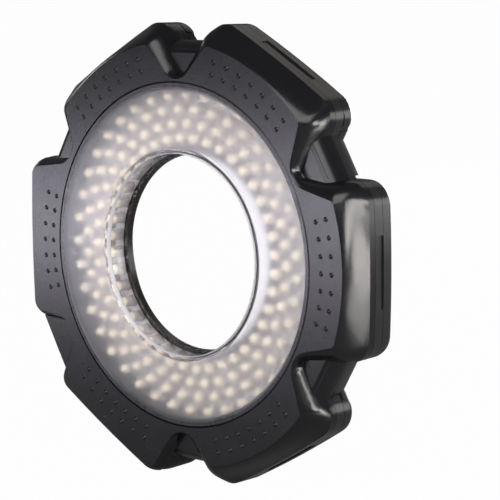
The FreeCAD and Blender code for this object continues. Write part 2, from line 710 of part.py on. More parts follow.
def make_rear_cover():
    start = float(size.parting_depth)
    top = float(door_top)
    chamfer = float(size.edge_chamfer)
    lobes = loft("RearLobes", [outline(start), outline(top)], ruled=True)
    core_end = float(size.core_depth)
    core = loft("RearCore", [core_outline(start), core_outline((start + core_end) / 2.0),
                             core_outline(core_end - chamfer)])
    core_edge = loft("RearCoreEdge", [core_outline(core_end - chamfer),
                                      core_outline(core_end, chamfer)], ruled=True)
    pod_end = float(size.pod_depth)
    root = size.pod_rear_root
    pod = loft("PodRear", [pod_outline(start, root), pod_outline((start + pod_end) / 2.0, root),
                           pod_outline(pod_end - chamfer, root)])
    pod_edge = loft("PodRearEdge", [pod_outline(pod_end - chamfer, root),
                                    pod_outline(pod_end, root, chamfer)], ruled=True)
    edge_depth = size.body_depth - size.back_chamfer
    back = disc("BackDisc", size.back_radius, size.parting_depth, edge_depth)
    back_edge = cone("BackDiscEdge", size.back_radius, size.back_radius - size.back_chamfer,
                     edge_depth, size.body_depth)
    length = trough_high - trough_low
    troughs = [bar("Trough%d" % angle, trough_outer, size.cell_out,
                   trough_low - size.trough_wall, length + size.trough_wall * 2,
                   size.cell_depth, angle) for angle in lobe_angles()]
    solid = fuse("RearSolid", [lobes, core, core_edge, back, back_edge] + troughs)
    space_start = size.door_inner - size.door_gap
    space_half = size.widest_half + OVERRUN
    spaces = [block("DoorSpace%d" % angle, space_start, size.widest_edge - space_start + OVERRUN,
                    -space_half, space_half * 2, door_top, size.body_depth + OVERRUN, angle)
              for angle in lobe_angles()]
    open_solid = cut("RearStepped", solid, spaces)

    added = [open_solid, pod, pod_edge]
    for angle in lobe_angles():
        name = "Door%d" % angle
        for near in (size.hinge_start, hinge_end - size.lug):
            side = "Near" if near is size.hinge_start else "Far"
            added.append(rod(name + side + "Lug", size.barrel_radius, near, size.lug,
                             -size.hinge_half, size.hinge_depth, angle))
            added.append(block(name + side + "LugFoot", near, size.lug,
                               -(size.hinge_half + size.barrel_radius), size.barrel_radius * 2,
                               door_top - size.lug_root, size.hinge_depth, angle))
    for angle in driver_post_angles():
        added.append(disc("DriverPost%d" % angle, size.driver_post,
                          size.driver_depth + size.board, bay_back + OVERRUN,
                          size.driver_post_out, 0.0, angle))

    cutters = [
        disc("FrontRoom", bay_inner, size.parting_depth - OVERRUN, seat_front),
        disc("SeatHole", size.seat_hole, seat_front - OVERRUN, size.seat_depth + OVERRUN),
        disc("AdapterBore", size.adapter_bore, size.seat_depth, bore_back),
        cone("Mouth", size.adapter_bore, size.mouth_radius, bore_back, size.body_depth),
        cut("DriverBay", disc("DriverBayOuter", size.driver_bay, size.parting_depth - OVERRUN,
                              bay_back),
            [disc("DriverBayInner", bay_inner, size.parting_depth - OVERRUN * 2,
                  bay_back + OVERRUN)]
            + [disc("PostKeep%d" % angle, size.driver_post, size.driver_depth + size.board,
                    bay_back + OVERRUN, size.driver_post_out, 0.0, angle)
               for angle in driver_post_angles()]),
        disc("BoardRoom", board_radius + size.loose, size.parting_depth - OVERRUN,
             board_back + size.loose),
    ]
    for angle in lobe_angles():
        name = "Cell%d" % angle
        cutters.append(bar(name + "Room", trough_inner, size.cell_out, trough_low, length,
                           size.cell_depth, angle))
        cutters.append(block(name + "Mouth", size.cell_out - trough_inner, trough_inner * 2,
                             trough_low, length, size.cell_depth, door_top + OVERRUN, angle))
        cutters.append(block(name + "Grip", size.widest_edge - size.grip_depth,
                             size.grip_depth + OVERRUN, -size.grip_half, size.grip_half * 2,
                             size.parting_depth + size.grip_lip, door_top + OVERRUN, angle))
        cutters.append(block(name + "Catch", size.catch_start - size.door_gap,
                             size.catch_width + size.door_gap * 2, tongue_low - size.loose,
                             tongue_thick + size.loose * 2,
                             door_top - size.catch_reach - size.door_gap, door_top + OVERRUN,
                             angle))
        cutters.append(rod(name + "Pin", size.pin_radius, size.hinge_start - OVERRUN,
                           size.hinge_length + OVERRUN * 2, -size.hinge_half, size.hinge_depth,
                           angle))
    for angle in notch_angles(with_pod=False):
        name = "CaseHole%d" % angle
        cutters.append(disc(name, size.case_screw + size.pin_slip * 2,
                            size.parting_depth - OVERRUN, size.core_depth + OVERRUN,
                            size.case_screw_out, 0.0, angle))
        cutters.append(disc(name + "Head", size.case_head + size.head_room, head_seat,
                            size.core_depth + OVERRUN, size.case_screw_out, 0.0, angle))
    for angle in notch_angles(with_pod=True):
        cutters.append(disc("EarRoom%d" % angle, size.ear_radius + size.ear_room,
                            size.parting_depth - OVERRUN,
                            board_back + size.board_head_high + size.ear_room,
                            size.board_screw_out, 0.0, angle))
    room_half = size.switch_body_half + size.slip
    cutters.append(block("SwitchRoom", pod_inner - size.switch_body_long - size.slip,
                         size.switch_body_long + size.slip, -room_half, room_half * 2,
                         size.parting_depth - OVERRUN,
                         size.parting_depth + size.switch_body_high + size.slip, POD_ANGLE))
    slot_half = (size.knob_width + size.knob_travel) * 0.5 + size.knob_room
    slot_high = size.knob_high * 0.5 + size.knob_room
    cutters.append(block("SwitchSlot", pod_inner - size.slip,
                         size.pod_wall + OVERRUN, -slot_half, slot_half * 2,
                         size.switch_depth - slot_high, size.switch_depth + slot_high, POD_ANGLE))
    whole = fuse("RearWhole", added)
    finish(cut("RearCover", whole, cutters), "rear_cover")


def driver_post_angles():
    step = float(size.driver_post_step)
    return [POD_ANGLE - step, POD_ANGLE, POD_ANGLE + step]


def make_doors():
    rim = float(door_rim)
    back = float(size.body_depth)
    swell = float(size.door_round)
    round_start = back - swell * 1.5
    lid = loft("DoorLid", [door_outline(rim), door_outline(round_start)], ruled=True)
    sections = []
    for turn in (0.0, 30.0, 60.0, 90.0):
        inwards = swell * (1.0 - math.cos(math.radians(turn)))
        depth = round_start + (back - round_start) * math.sin(math.radians(turn))
        sections.append(door_outline(depth, inwards))
    lid_edge = loft("DoorLidEdge", sections)
    wall = float(size.door_wall)
    room = loft("DoorRoom", [door_outline(rim - OVERRUN, wall, wall),
                             door_outline(round_start, wall, wall),
                             door_outline(back - wall, wall + swell * 0.5, wall)], ruled=True)
    hollow = cut("DoorShell", fuse("DoorSolid", [lid, lid_edge]), [room])
    knuckle_start = size.hinge_start + size.lug + size.hinge_slip
    knuckle = rod("Knuckle", size.barrel_radius, knuckle_start,
                  size.hinge_length - size.lug * 2 - size.hinge_slip * 2, -size.hinge_half,
                  size.hinge_depth)
    tongue = block("CatchTongue", size.catch_start, size.catch_width, tongue_low, tongue_thick,
                   door_top - size.catch_reach, door_rim + size.nail_high * 2)
    cutters = []
    notch_low = -(size.hinge_half + size.barrel_radius * 2)
    notch_high = size.barrel_radius + size.door_gap * 2 - size.hinge_half
    for name, start in (("LugNotchNear", size.hinge_start),
                        ("LugNotchFar", hinge_end - size.lug)):
        cutters.append(block(name, start - size.door_gap, size.lug + size.door_gap * 2,
                             notch_low, notch_high - notch_low, door_top - OVERRUN,
                             size.body_depth + OVERRUN))
    cutters.append(rod("KnuckleHole", size.pin_radius + size.pin_slip, size.hinge_start,
                       size.hinge_length, -size.hinge_half, size.hinge_depth))
    beyond = size.widest_half + OVERRUN
    cutters.append(block("SwingRoom", size.door_inner - OVERRUN,
                         size.widest_edge - size.door_inner + OVERRUN * 2, -beyond,
                         beyond - size.hinge_half, door_top, door_rim + size.swing_room))
    nail_low = size.rear_half - size.nail_deep
    cutters.append(block("NailNotch", size.catch_start, size.catch_width, nail_low,
                         beyond - nail_low, door_top, door_rim + size.nail_high))
    for number in range(DOOR_GROOVES):
        cutters.append(block("GripGroove%d" % number, size.cell_out - size.rib_long * 0.5,
                             size.rib_long, size.rib_start + size.rib_pitch * number,
                             size.rib_wide, size.body_depth - size.rib_deep,
                             size.body_depth + OVERRUN))
    copies(cut("Door", fuse("DoorWhole", [hollow, knuckle, tongue]), cutters), "battery_door")
    pin = rod("Pin", size.pin_radius, size.hinge_start, size.hinge_length, -size.hinge_half,
              size.hinge_depth)
    repeat(pin, "hinge_pins", lobe_angles())


def make_batteries():
    body = bar("CellBody", size.cell_radius, size.cell_out, -cell_half,
               size.cell_length - size.nub_length, size.cell_depth)
    nub = bar("CellNub", size.nub_radius, size.cell_out, cell_half - size.nub_length,
              size.nub_length, size.cell_depth)
    copies(fuse("Cell", [body, nub]), "battery")
    half = size.contact_width * 0.5
    plates = [
        block("PlateLow", size.cell_out - half, size.contact_width, trough_low, size.contact,
              size.cell_depth - half, size.cell_depth + half),
        block("PlateHigh", size.cell_out - half, size.contact_width, cell_half, size.contact,
              size.cell_depth - half, size.cell_depth + half),
    ]
    repeat(fuse("Plates", plates), "contact_plates", lobe_angles())
    spring = doc.addObject("Part::Cone", "SpringOuter")
    bind(spring, Radius1=size.spring_wide, Radius2=size.spring_narrow, Height=size.spring_room)
    put(spring, size.cell_out, trough_low + size.contact, -size.cell_depth,
        Rotation(Vector(1, 0, 0), -90))
    eye = bar("SpringEye", size.spring_eye, size.cell_out, trough_low,
              size.spring_room + OVERRUN * 2, size.cell_depth)
    repeat(cut("Spring", spring, [eye]), "contact_springs", lobe_angles())


def ring_body(name, corners, rounding=None):
    """A turned piece: a closed profile of (radius, depth) corners, turned about the axis."""
    body = doc.addObject("PartDesign::Body", name)
    sketch = body.newObject("Sketcher::SketchObject", name + "Profile")
    plane = [item for item in body.Origin.OriginFeatures if item.Role == "XZ_Plane"][0]
    sketch.AttachmentSupport = [(plane, "")]
    sketch.MapMode = "FlatFace"
    points = [(as_size(radius), -as_size(depth)) for radius, depth in corners]
    count = len(points)
    for number in range(count):
        start = points[number]
        end = points[(number + 1) % count]
        sketch.addGeometry(Part.LineSegment(Vector(start[0].value, start[1].value, 0),
                                            Vector(end[0].value, end[1].value, 0)), False)
    for number in range(count):
        sketch.addConstraint(Sketcher.Constraint("Coincident", number, 2,
                                                 (number + 1) % count, 1))
    for number, (across, up) in enumerate(points):
        for kind, value in (("DistanceX", across), ("DistanceY", up)):
            if abs(value.value) < 1e-9:
                line = -1 if kind == "DistanceY" else -2
                sketch.addConstraint(Sketcher.Constraint("PointOnObject", number, 1, line))
                continue
            index = sketch.addConstraint(Sketcher.Constraint(kind, -1, 1, number, 1,
                                                             value.value))
            sketch.setExpression("Constraints[%d]" % index, value.text)
    turning = body.newObject("PartDesign::Revolution", name + "Turned")
    turning.Profile = sketch
    turning.ReferenceAxis = (sketch, ["V_Axis"])
    turning.Angle = 360.0
    doc.recompute()
    if rounding is not None:
        radius, depth, amount = rounding
        names = []
        for number, edge in enumerate(turning.Shape.Edges, start=1):
            curve = edge.Curve
            if not isinstance(curve, Part.Circle):
                continue
            if abs(curve.Radius - float(radius)) < 1e-4 and abs(curve.Center.z + depth) < 1e-4:
                names.append("Edge%d" % number)
        fillet = body.newObject("PartDesign::Fillet", name + "Rounded")
        fillet.Base = (turning, names)
        bind(fillet, Radius=amount)
        doc.recompute()
    return body


def make_window():
    inner = size.throat_radius + size.throat_wall
    diffuser = ring_body("Diffuser", [
        (size.throat_radius, 0.0), (size.diffuser_radius, 0.0),
        (size.diffuser_radius, size.plate), (inner + size.throat_chamfer, size.plate),
        (inner, size.plate + size.throat_chamfer), (inner, size.collar_front),
        (size.throat_radius, size.collar_front)],
        rounding=(size.throat_radius, 0.0, size.rim_radius))
    finish(diffuser, "diffuser")
    bezel = ring_body("Bezel", [
        (size.diffuser_radius + size.slip, 0.0), (bezel_outer - size.bezel_chamfer, 0.0),
        (bezel_outer, size.bezel_chamfer),
        (bezel_outer, size.plate), (size.diffuser_radius + size.slip, size.plate)])
    finish(bezel, "bezel_ring")
    flange_front = board_back + size.slip
    flange_back = flange_front + size.flange
    taper = flange_back - size.collar_rear
    collar = ring_body("Collar", [
        (size.collar_radius, size.collar_front), (collar_outer, size.collar_front),
        (collar_outer, flange_front), (size.flange_radius, flange_front),
        (size.flange_radius, flange_back), (size.collar_radius + taper, flange_back),
        (size.collar_radius, size.collar_rear)])
    finish(collar, "lens_collar")


def make_led_board():
    plate = disc("LedPlate", board_radius, size.parting_depth, board_back)
    ears = []
    holes = [disc("LedPlateHole", board_hole, 0.0, size.body_depth)]
    for angle in notch_angles(with_pod=True):
        ears.append(disc("Ear%d" % angle, size.ear_radius, size.parting_depth, board_back,
                         size.board_screw_out, 0.0, angle))
        holes.append(disc("EarHole%d" % angle, size.board_screw, 0.0, size.body_depth,
                          size.board_screw_out, 0.0, angle))
    finish(cut("LedBoard", fuse("LedBoardWhole", [plate] + ears), holes), "led_board")


def make_leds():
    for ring in range(RINGS):
        reach = size.ring_first + size.ring_pitch * ring
        base = size.parting_depth
        body = doc.addObject("Part::Prism", "LedBody%d" % ring)
        body.Polygon = 6
        bind(body, Circumradius=size.led_radius, Height=size.led_body)
        put(body, reach, 0, -base)
        sections = []
        for name, radius, depth in (("Foot", size.led_radius, base - size.led_body),
                                    ("Tip", size.led_tip, base - size.led_body - size.led_dome)):
            section = doc.addObject("Part::RegularPolygon", "Led%s%d" % (name, ring))
            section.Polygon = 6
            bind(section, Circumradius=radius)
            put(section, reach, 0, -depth)
            sections.append(section)
        dome = doc.addObject("Part::Loft", "LedDome%d" % ring)
        dome.Sections = sections
        dome.Solid = True
        dome.Ruled = True
        step = 360.0 / LEDS_PER_RING
        first = step / 2.0 if ring % 2 == 0 else 0.0
        repeat(fuse("Led%d" % ring, [body, dome]), "led_ring_%d" % (ring + 1),
               [number * step for number in range(LEDS_PER_RING)], first)


def make_driver():
    sector = doc.addObject("Part::Cylinder", "DriverSector")
    bind(sector, Radius=size.driver_outer, Height=size.board, Angle=size.driver_span)
    start = Rotation(Vector(0, 0, 1), POD_ANGLE - float(size.driver_span) / 2.0)
    put(sector, 0, 0, -(size.driver_depth + size.board), start)
    holes = [disc("DriverHole", size.driver_inner, 0.0, size.body_depth)]
    holes += [disc("DriverScrewHole%d" % angle, size.board_screw, 0.0, size.body_depth,
                   size.driver_post_out, 0.0, angle) for angle in driver_post_angles()]
    finish(cut("DriverBoard", sector, holes), "driver_board")
    face = size.driver_depth + size.board
    spread = float(size.driver_span) / 4.0
    coil = disc("CoilBody", size.coil_radius, face, face + size.coil_high,
                size.driver_post_out, 0.0, POD_ANGLE - spread)
    finish(wrap(coil), "driver_coil")
    capacitor = rod("CapacitorBody", size.capacitor_radius,
                    size.driver_post_out - size.capacitor_long * 0.5, size.capacitor_long, 0.0,
                    face + size.capacitor_radius, POD_ANGLE + spread)
    finish(wrap(capacitor), "driver_capacitor")
    chip = block("ChipBody", size.driver_post_out - size.chip_long * 0.5, size.chip_long,
                 -size.chip_width * 0.5, size.chip_width, face, face + size.chip_high,
                 POD_ANGLE - spread / 2.0)
    finish(wrap(chip), "driver_chip")


def wrap(thing):
    """Carry a single primitive, so that the piece has a placement of its own."""
    wrapper = doc.addObject("Part::Compound", thing.Name + "Piece")
    wrapper.Links = [thing]
    return wrapper


def screw(name, radius, length, head_radius, head_high, head_front, out, angle=0.0):
    """A pan-head screw driven from behind; its head starts at head_front."""
    shank = disc(name + "Shank", radius, head_front - length, head_front, out, 0.0, angle)
    head = disc(name + "Head", head_radius, head_front, head_front + head_high, out, 0.0, angle)
    return fuse(name, [shank, head])


def make_screws():
    case = screw("CaseScrew", size.case_screw, size.case_screw_long, size.case_head,
                 size.case_head_high, head_seat, size.case_screw_out)
    repeat(case, "case_screws", notch_angles(with_pod=False))
    board = screw("BoardScrew", size.board_screw, size.board_screw_long, size.board_head,
                  size.board_head_high, board_back, size.board_screw_out)
    repeat(board, "board_screws", notch_angles(with_pod=True))


def make_controls():
    board_front = size.parting_depth - size.board
    board = block("ControlPlate", size.control_board_start,
                  pod_inner - size.control_board_start - size.slip,
                  -size.control_board_half, size.control_board_half * 2, board_front,
                  size.parting_depth, POD_ANGLE)
    finish(wrap(board), "control_board")

    points = []
    for number in range(WHEEL_TEETH * 2):
        reach = float(size.wheel_radius) - (float(size.wheel_notch) if number % 2 else 0.0)
        angle = math.radians(number * 180.0 / WHEEL_TEETH)
        points.append(Vector(reach * math.cos(angle), reach * math.sin(angle), 0))
    rim = doc.addObject("Part::Feature", "WheelRim")
    rim.Shape = Part.makePolygon(points + points[:1])
    x, y = polar(wheel_out, size.wheel_side, POD_ANGLE)
    pot_front = board_front - size.pot_high
    put(rim, x, y, -pot_front)
    wheel = doc.addObject("Part::Extrusion", "WheelDisc")
    wheel.Base = rim
    wheel.Dir = Vector(0, 0, 1)
    wheel.Solid = True
    bind(wheel, LengthFwd=size.wheel_thick)
    shaft_end = pot_front + size.pot_high * 0.5
    shaft = disc("WheelShaft", size.wheel_shaft, pot_front - size.wheel_thick * 0.5, shaft_end,
                 wheel_out, size.wheel_side, POD_ANGLE)
    finish(fuse("Wheel", [wheel, shaft]), "dimmer_wheel")
    half = size.pot_side * 0.5
    pot = block("PotBody", wheel_out - size.pot_side + size.wheel_shaft, size.pot_side,
                size.wheel_side - half, size.pot_side, pot_front + size.slip, board_front,
                POD_ANGLE)
    pot_hole = disc("PotHole", size.wheel_shaft + size.pin_slip, pot_front - OVERRUN,
                    shaft_end + size.slip, wheel_out, size.wheel_side, POD_ANGLE)
    finish(cut("Potentiometer", pot, [pot_hole]), "dimmer_potentiometer")

    socket_depth = board_front - size.socket_width * 0.5
    socket = block("SocketBody", pod_inner - size.socket_long - size.slip, size.socket_long,
                   size.socket_side - size.socket_width * 0.5, size.socket_width,
                   board_front - size.socket_width, board_front, POD_ANGLE)
    bore = rod("SocketBore", size.socket_bore, pod_inner - size.socket_bore_long,
               size.socket_bore_long + OVERRUN, size.socket_side, socket_depth, POD_ANGLE)
    centre = rod("SocketPin", size.socket_pin, pod_inner - size.socket_bore_long - OVERRUN,
                 size.socket_bore_long, size.socket_side, socket_depth, POD_ANGLE)
    finish(fuse("Socket", [cut("SocketOpened", socket, [bore]), centre]), "power_socket")

    body = block("SwitchBody", pod_inner - size.switch_body_long - size.slip,
                 size.switch_body_long, -size.switch_body_half, size.switch_body_half * 2,
                 size.parting_depth, size.parting_depth + size.switch_body_high, POD_ANGLE)
    finish(wrap(body), "power_switch_body")
    knob = block("SwitchKnob", pod_inner - size.slip * 0.5,
                 size.pod_wall + size.knob_proud + size.slip * 0.5,
                 -(size.knob_width + size.knob_travel) * 0.5, size.knob_width,
                 size.switch_depth - size.knob_high * 0.5,
                 size.switch_depth + size.knob_high * 0.5, POD_ANGLE)
    finish(wrap(knob), "power_switch_knob")


make_front_cover()
make_rear_cover()
make_doors()
make_batteries()
make_window()
make_led_board()
make_leds()
make_driver()
make_controls()
make_screws()
doc.recompute()

for item in doc.Objects:
    if "Invalid" in item.State or "Error" in item.State:
        raise RuntimeError("%s did not build: %s" % (item.Label, item.State))
os.makedirs("parts", exist_ok=True)
for item in sub_parts:
    if item.Shape.isNull() or not item.Shape.isValid():
        raise RuntimeError("%s has no valid shape" % item.Label)
    item.Shape.exportStep(os.path.join("parts", item.Label + ".step"))
    print("%s: %d solids, %.1f mm3" % (item.Label, len(item.Shape.Solids), item.Shape.Volume))
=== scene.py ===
import math

import bmesh
import bpy
from mathutils import Matrix, Quaternion, Vector


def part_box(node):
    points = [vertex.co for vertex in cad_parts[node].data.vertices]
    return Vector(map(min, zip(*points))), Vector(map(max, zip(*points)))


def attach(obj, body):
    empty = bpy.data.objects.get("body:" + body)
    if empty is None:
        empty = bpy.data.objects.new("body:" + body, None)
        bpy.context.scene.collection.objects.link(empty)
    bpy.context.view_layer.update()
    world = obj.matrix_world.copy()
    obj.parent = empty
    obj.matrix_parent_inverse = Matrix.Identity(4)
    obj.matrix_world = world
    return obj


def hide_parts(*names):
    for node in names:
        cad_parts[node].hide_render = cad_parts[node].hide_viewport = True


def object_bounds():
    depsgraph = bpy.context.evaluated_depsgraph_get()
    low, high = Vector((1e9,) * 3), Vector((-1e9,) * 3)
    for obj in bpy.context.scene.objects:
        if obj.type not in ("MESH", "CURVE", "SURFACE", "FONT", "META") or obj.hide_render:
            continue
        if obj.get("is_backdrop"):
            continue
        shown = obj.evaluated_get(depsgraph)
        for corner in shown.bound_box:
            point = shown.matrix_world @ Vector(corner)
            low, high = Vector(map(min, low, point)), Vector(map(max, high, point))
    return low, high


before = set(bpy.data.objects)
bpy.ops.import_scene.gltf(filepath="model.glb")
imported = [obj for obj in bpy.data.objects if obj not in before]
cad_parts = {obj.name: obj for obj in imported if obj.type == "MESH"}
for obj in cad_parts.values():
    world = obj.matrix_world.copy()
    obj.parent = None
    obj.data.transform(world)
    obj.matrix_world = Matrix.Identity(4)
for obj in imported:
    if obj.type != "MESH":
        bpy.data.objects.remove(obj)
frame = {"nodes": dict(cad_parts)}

bl_info = {
    "name": "Macro ring light",
    "version": (1, 0, 0),
    "blender": (4, 5, 0),
    "location": "3D View > Sidebar > Ring light",
    "description": "Finishes and fine pieces of a lobed LED ring light for close-up photography",
    "category": "Object",
}

# Lengths are in metres. The light faces -Y, its axis is the Y axis, and lobe 1 lies along +X.
LOBES = 6
LOBE_STEP = math.tau / LOBES
POD_ANGLE = math.radians(210.0)
RINGS = 4
LEDS_PER_RING = 40
LED_RINGS = ["led_ring_%d" % (ring + 1) for ring in range(RINGS)]
DOORS = ["battery_door_%d" % (lobe + 1) for lobe in range(LOBES)]
CELLS = ["battery_%d" % (lobe + 1) for lobe in range(LOBES)]
FRONT_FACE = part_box("bezel_ring")[0].y
MERGE = 1e-6

# A face points along an axis where its normal's part on that axis is over this
ALIGNED = 0.9

# Cuts across a sloping side, as shares of its depth from the face
CROWN_CUTS = (0.04, 0.09, 0.15, 0.22, 0.30, 0.40, 0.52, 0.66, 0.82)
# What takes the peak of x (1 - x) (1 - x) to 1
CROWN_PEAK = 6.75
# Where the Y part of the normal lies on a sloping side
SLOPE_NORMALS = (-0.85, -0.25)

# LEDs: sides, heights of the dome's cuts in degrees, and where the colour changes from the cream
# dome to the greyer body, whose grey is partly its own tone and partly painted shade
LED_SIDES = 10
DOME_CUTS = (32.0, 62.0, 84.0)
LED_SHADE_FADE = (-0.0006, 0.0010)

# Steps round the turned pieces
RIM_STEPS = 160
CELL_STEPS = 48
SCREW_STEPS = 40

# Cells: the part of the radius inside which the ends are bare steel
CELL_END = 0.88

# Contact springs: turns, steps in a turn, and the part of a turn that is flat at each end
COIL_TURNS = 4
COIL_STEPS = 20
COIL_CLOSED = 0.75

# Switch knob: ridges, with the depth and rounding of the grooves as shares of their width
KNOB_RIDGES = 3
KNOB_GROOVE = 0.6
KNOB_ROUND = 0.15

# Places of the case screws, in degrees from lobe 1
SCREW_ANGLES = (30.0, 90.0, 150.0, 270.0, 330.0)

# Colours of the small finishes
CONTACT_STEEL = (0.62, 0.60, 0.56)
CELL_STEEL = (0.66, 0.65, 0.62)
PIN_STEEL = (0.55, 0.55, 0.56)
SCREW_STEEL = (0.62, 0.62, 0.64)
SCREW_BLACK = (0.05, 0.05, 0.055)
COPPER = (0.62, 0.26, 0.10)
ALUMINIUM = (0.60, 0.61, 0.64)
CHIP_BLACK = (0.015, 0.015, 0.016)
PART_BLACK = (0.012, 0.012, 0.013)
CONTROL_BLACK = (0.034, 0.034, 0.037)
# The white lip inside the opening stands in for the band of light on the rounding there: a painted
# highlight
RIM_HIGHLIGHT_WHITE = (0.80, 0.78, 0.83)
BOARD_GREEN = (0.012, 0.10, 0.035)
TRACK_GREEN = (0.03, 0.16, 0.06)
TRACK_WHITE = (0.70, 0.68, 0.66)

# Background: the white that the camera sees, and how much of it a reflection shows
FLOOR_WHITE = 0.985
GLOSS_SHARE = 0.06

# What lights the object besides the lamps: the floor's grey paper and the faint surroundings
FLOOR_SIZE = 30.0
PAPER_GREY = (0.27, 0.27, 0.27)
SKY = (0.95, 0.96, 1.0)
WORLD_DIM = 0.05

# Camera: width of the sensor in millimetres, and the nearest and furthest that it sees
SENSOR = 36.0
CLIP = (0.05, 100.0)

# Soft boxes: name, place, target, width, height, watts, colour, roll in degrees
MIDDLE = (0.0, 0.0, 0.0)
RIGHT_SIDE = (0.094, -0.013, 0.005)
WHITE = (1.0, 1.0, 1.0)
COOL = (0.91, 0.875, 1.0)
WARM = (1.0, 0.97, 0.94)
AMBER = (1.0, 0.93, 0.86)
LAMPS = (
    ("low_left_box", (-0.35, -0.487, -0.057), (0.0, 0.0, -0.03), 0.50, 0.075, 1.16, COOL, 0.0),
    ("right_box", (0.545, 0.0, -0.004), RIGHT_SIDE, 0.13, 0.24, 1.35, WARM, 28.0),
    ("upper_right_box", (0.505, -0.18, 0.083), RIGHT_SIDE, 0.12, 0.15, 0.85, WARM, 28.0),
    ("low_right_box", (0.41, -0.02, -0.095), (0.41, -0.02, 0.5), 0.30, 0.17, 1.0, WARM, 0.0),
    ("front_box", (0.55, -1.15, 0.95), MIDDLE, 1.40, 1.10, 18.5, WHITE, 0.0),
    ("rear_box", (-0.36, 1.20, 1.05), MIDDLE, 0.9, 0.6, 0.75, AMBER, 0.0),
    ("side_box", (0.62, 0.80, 0.10), MIDDLE, 0.5, 0.36, 1.7, WHITE, 0.0),
    ("back_box", (-0.28, 1.25, 0.10), MIDDLE, 0.6, 0.36, 4.8, WHITE, 0.0),
    ("rim_box", (-1.20, 0.28, 0.38), MIDDLE, 0.22, 0.22, 0.5, WHITE, 0.0),
)


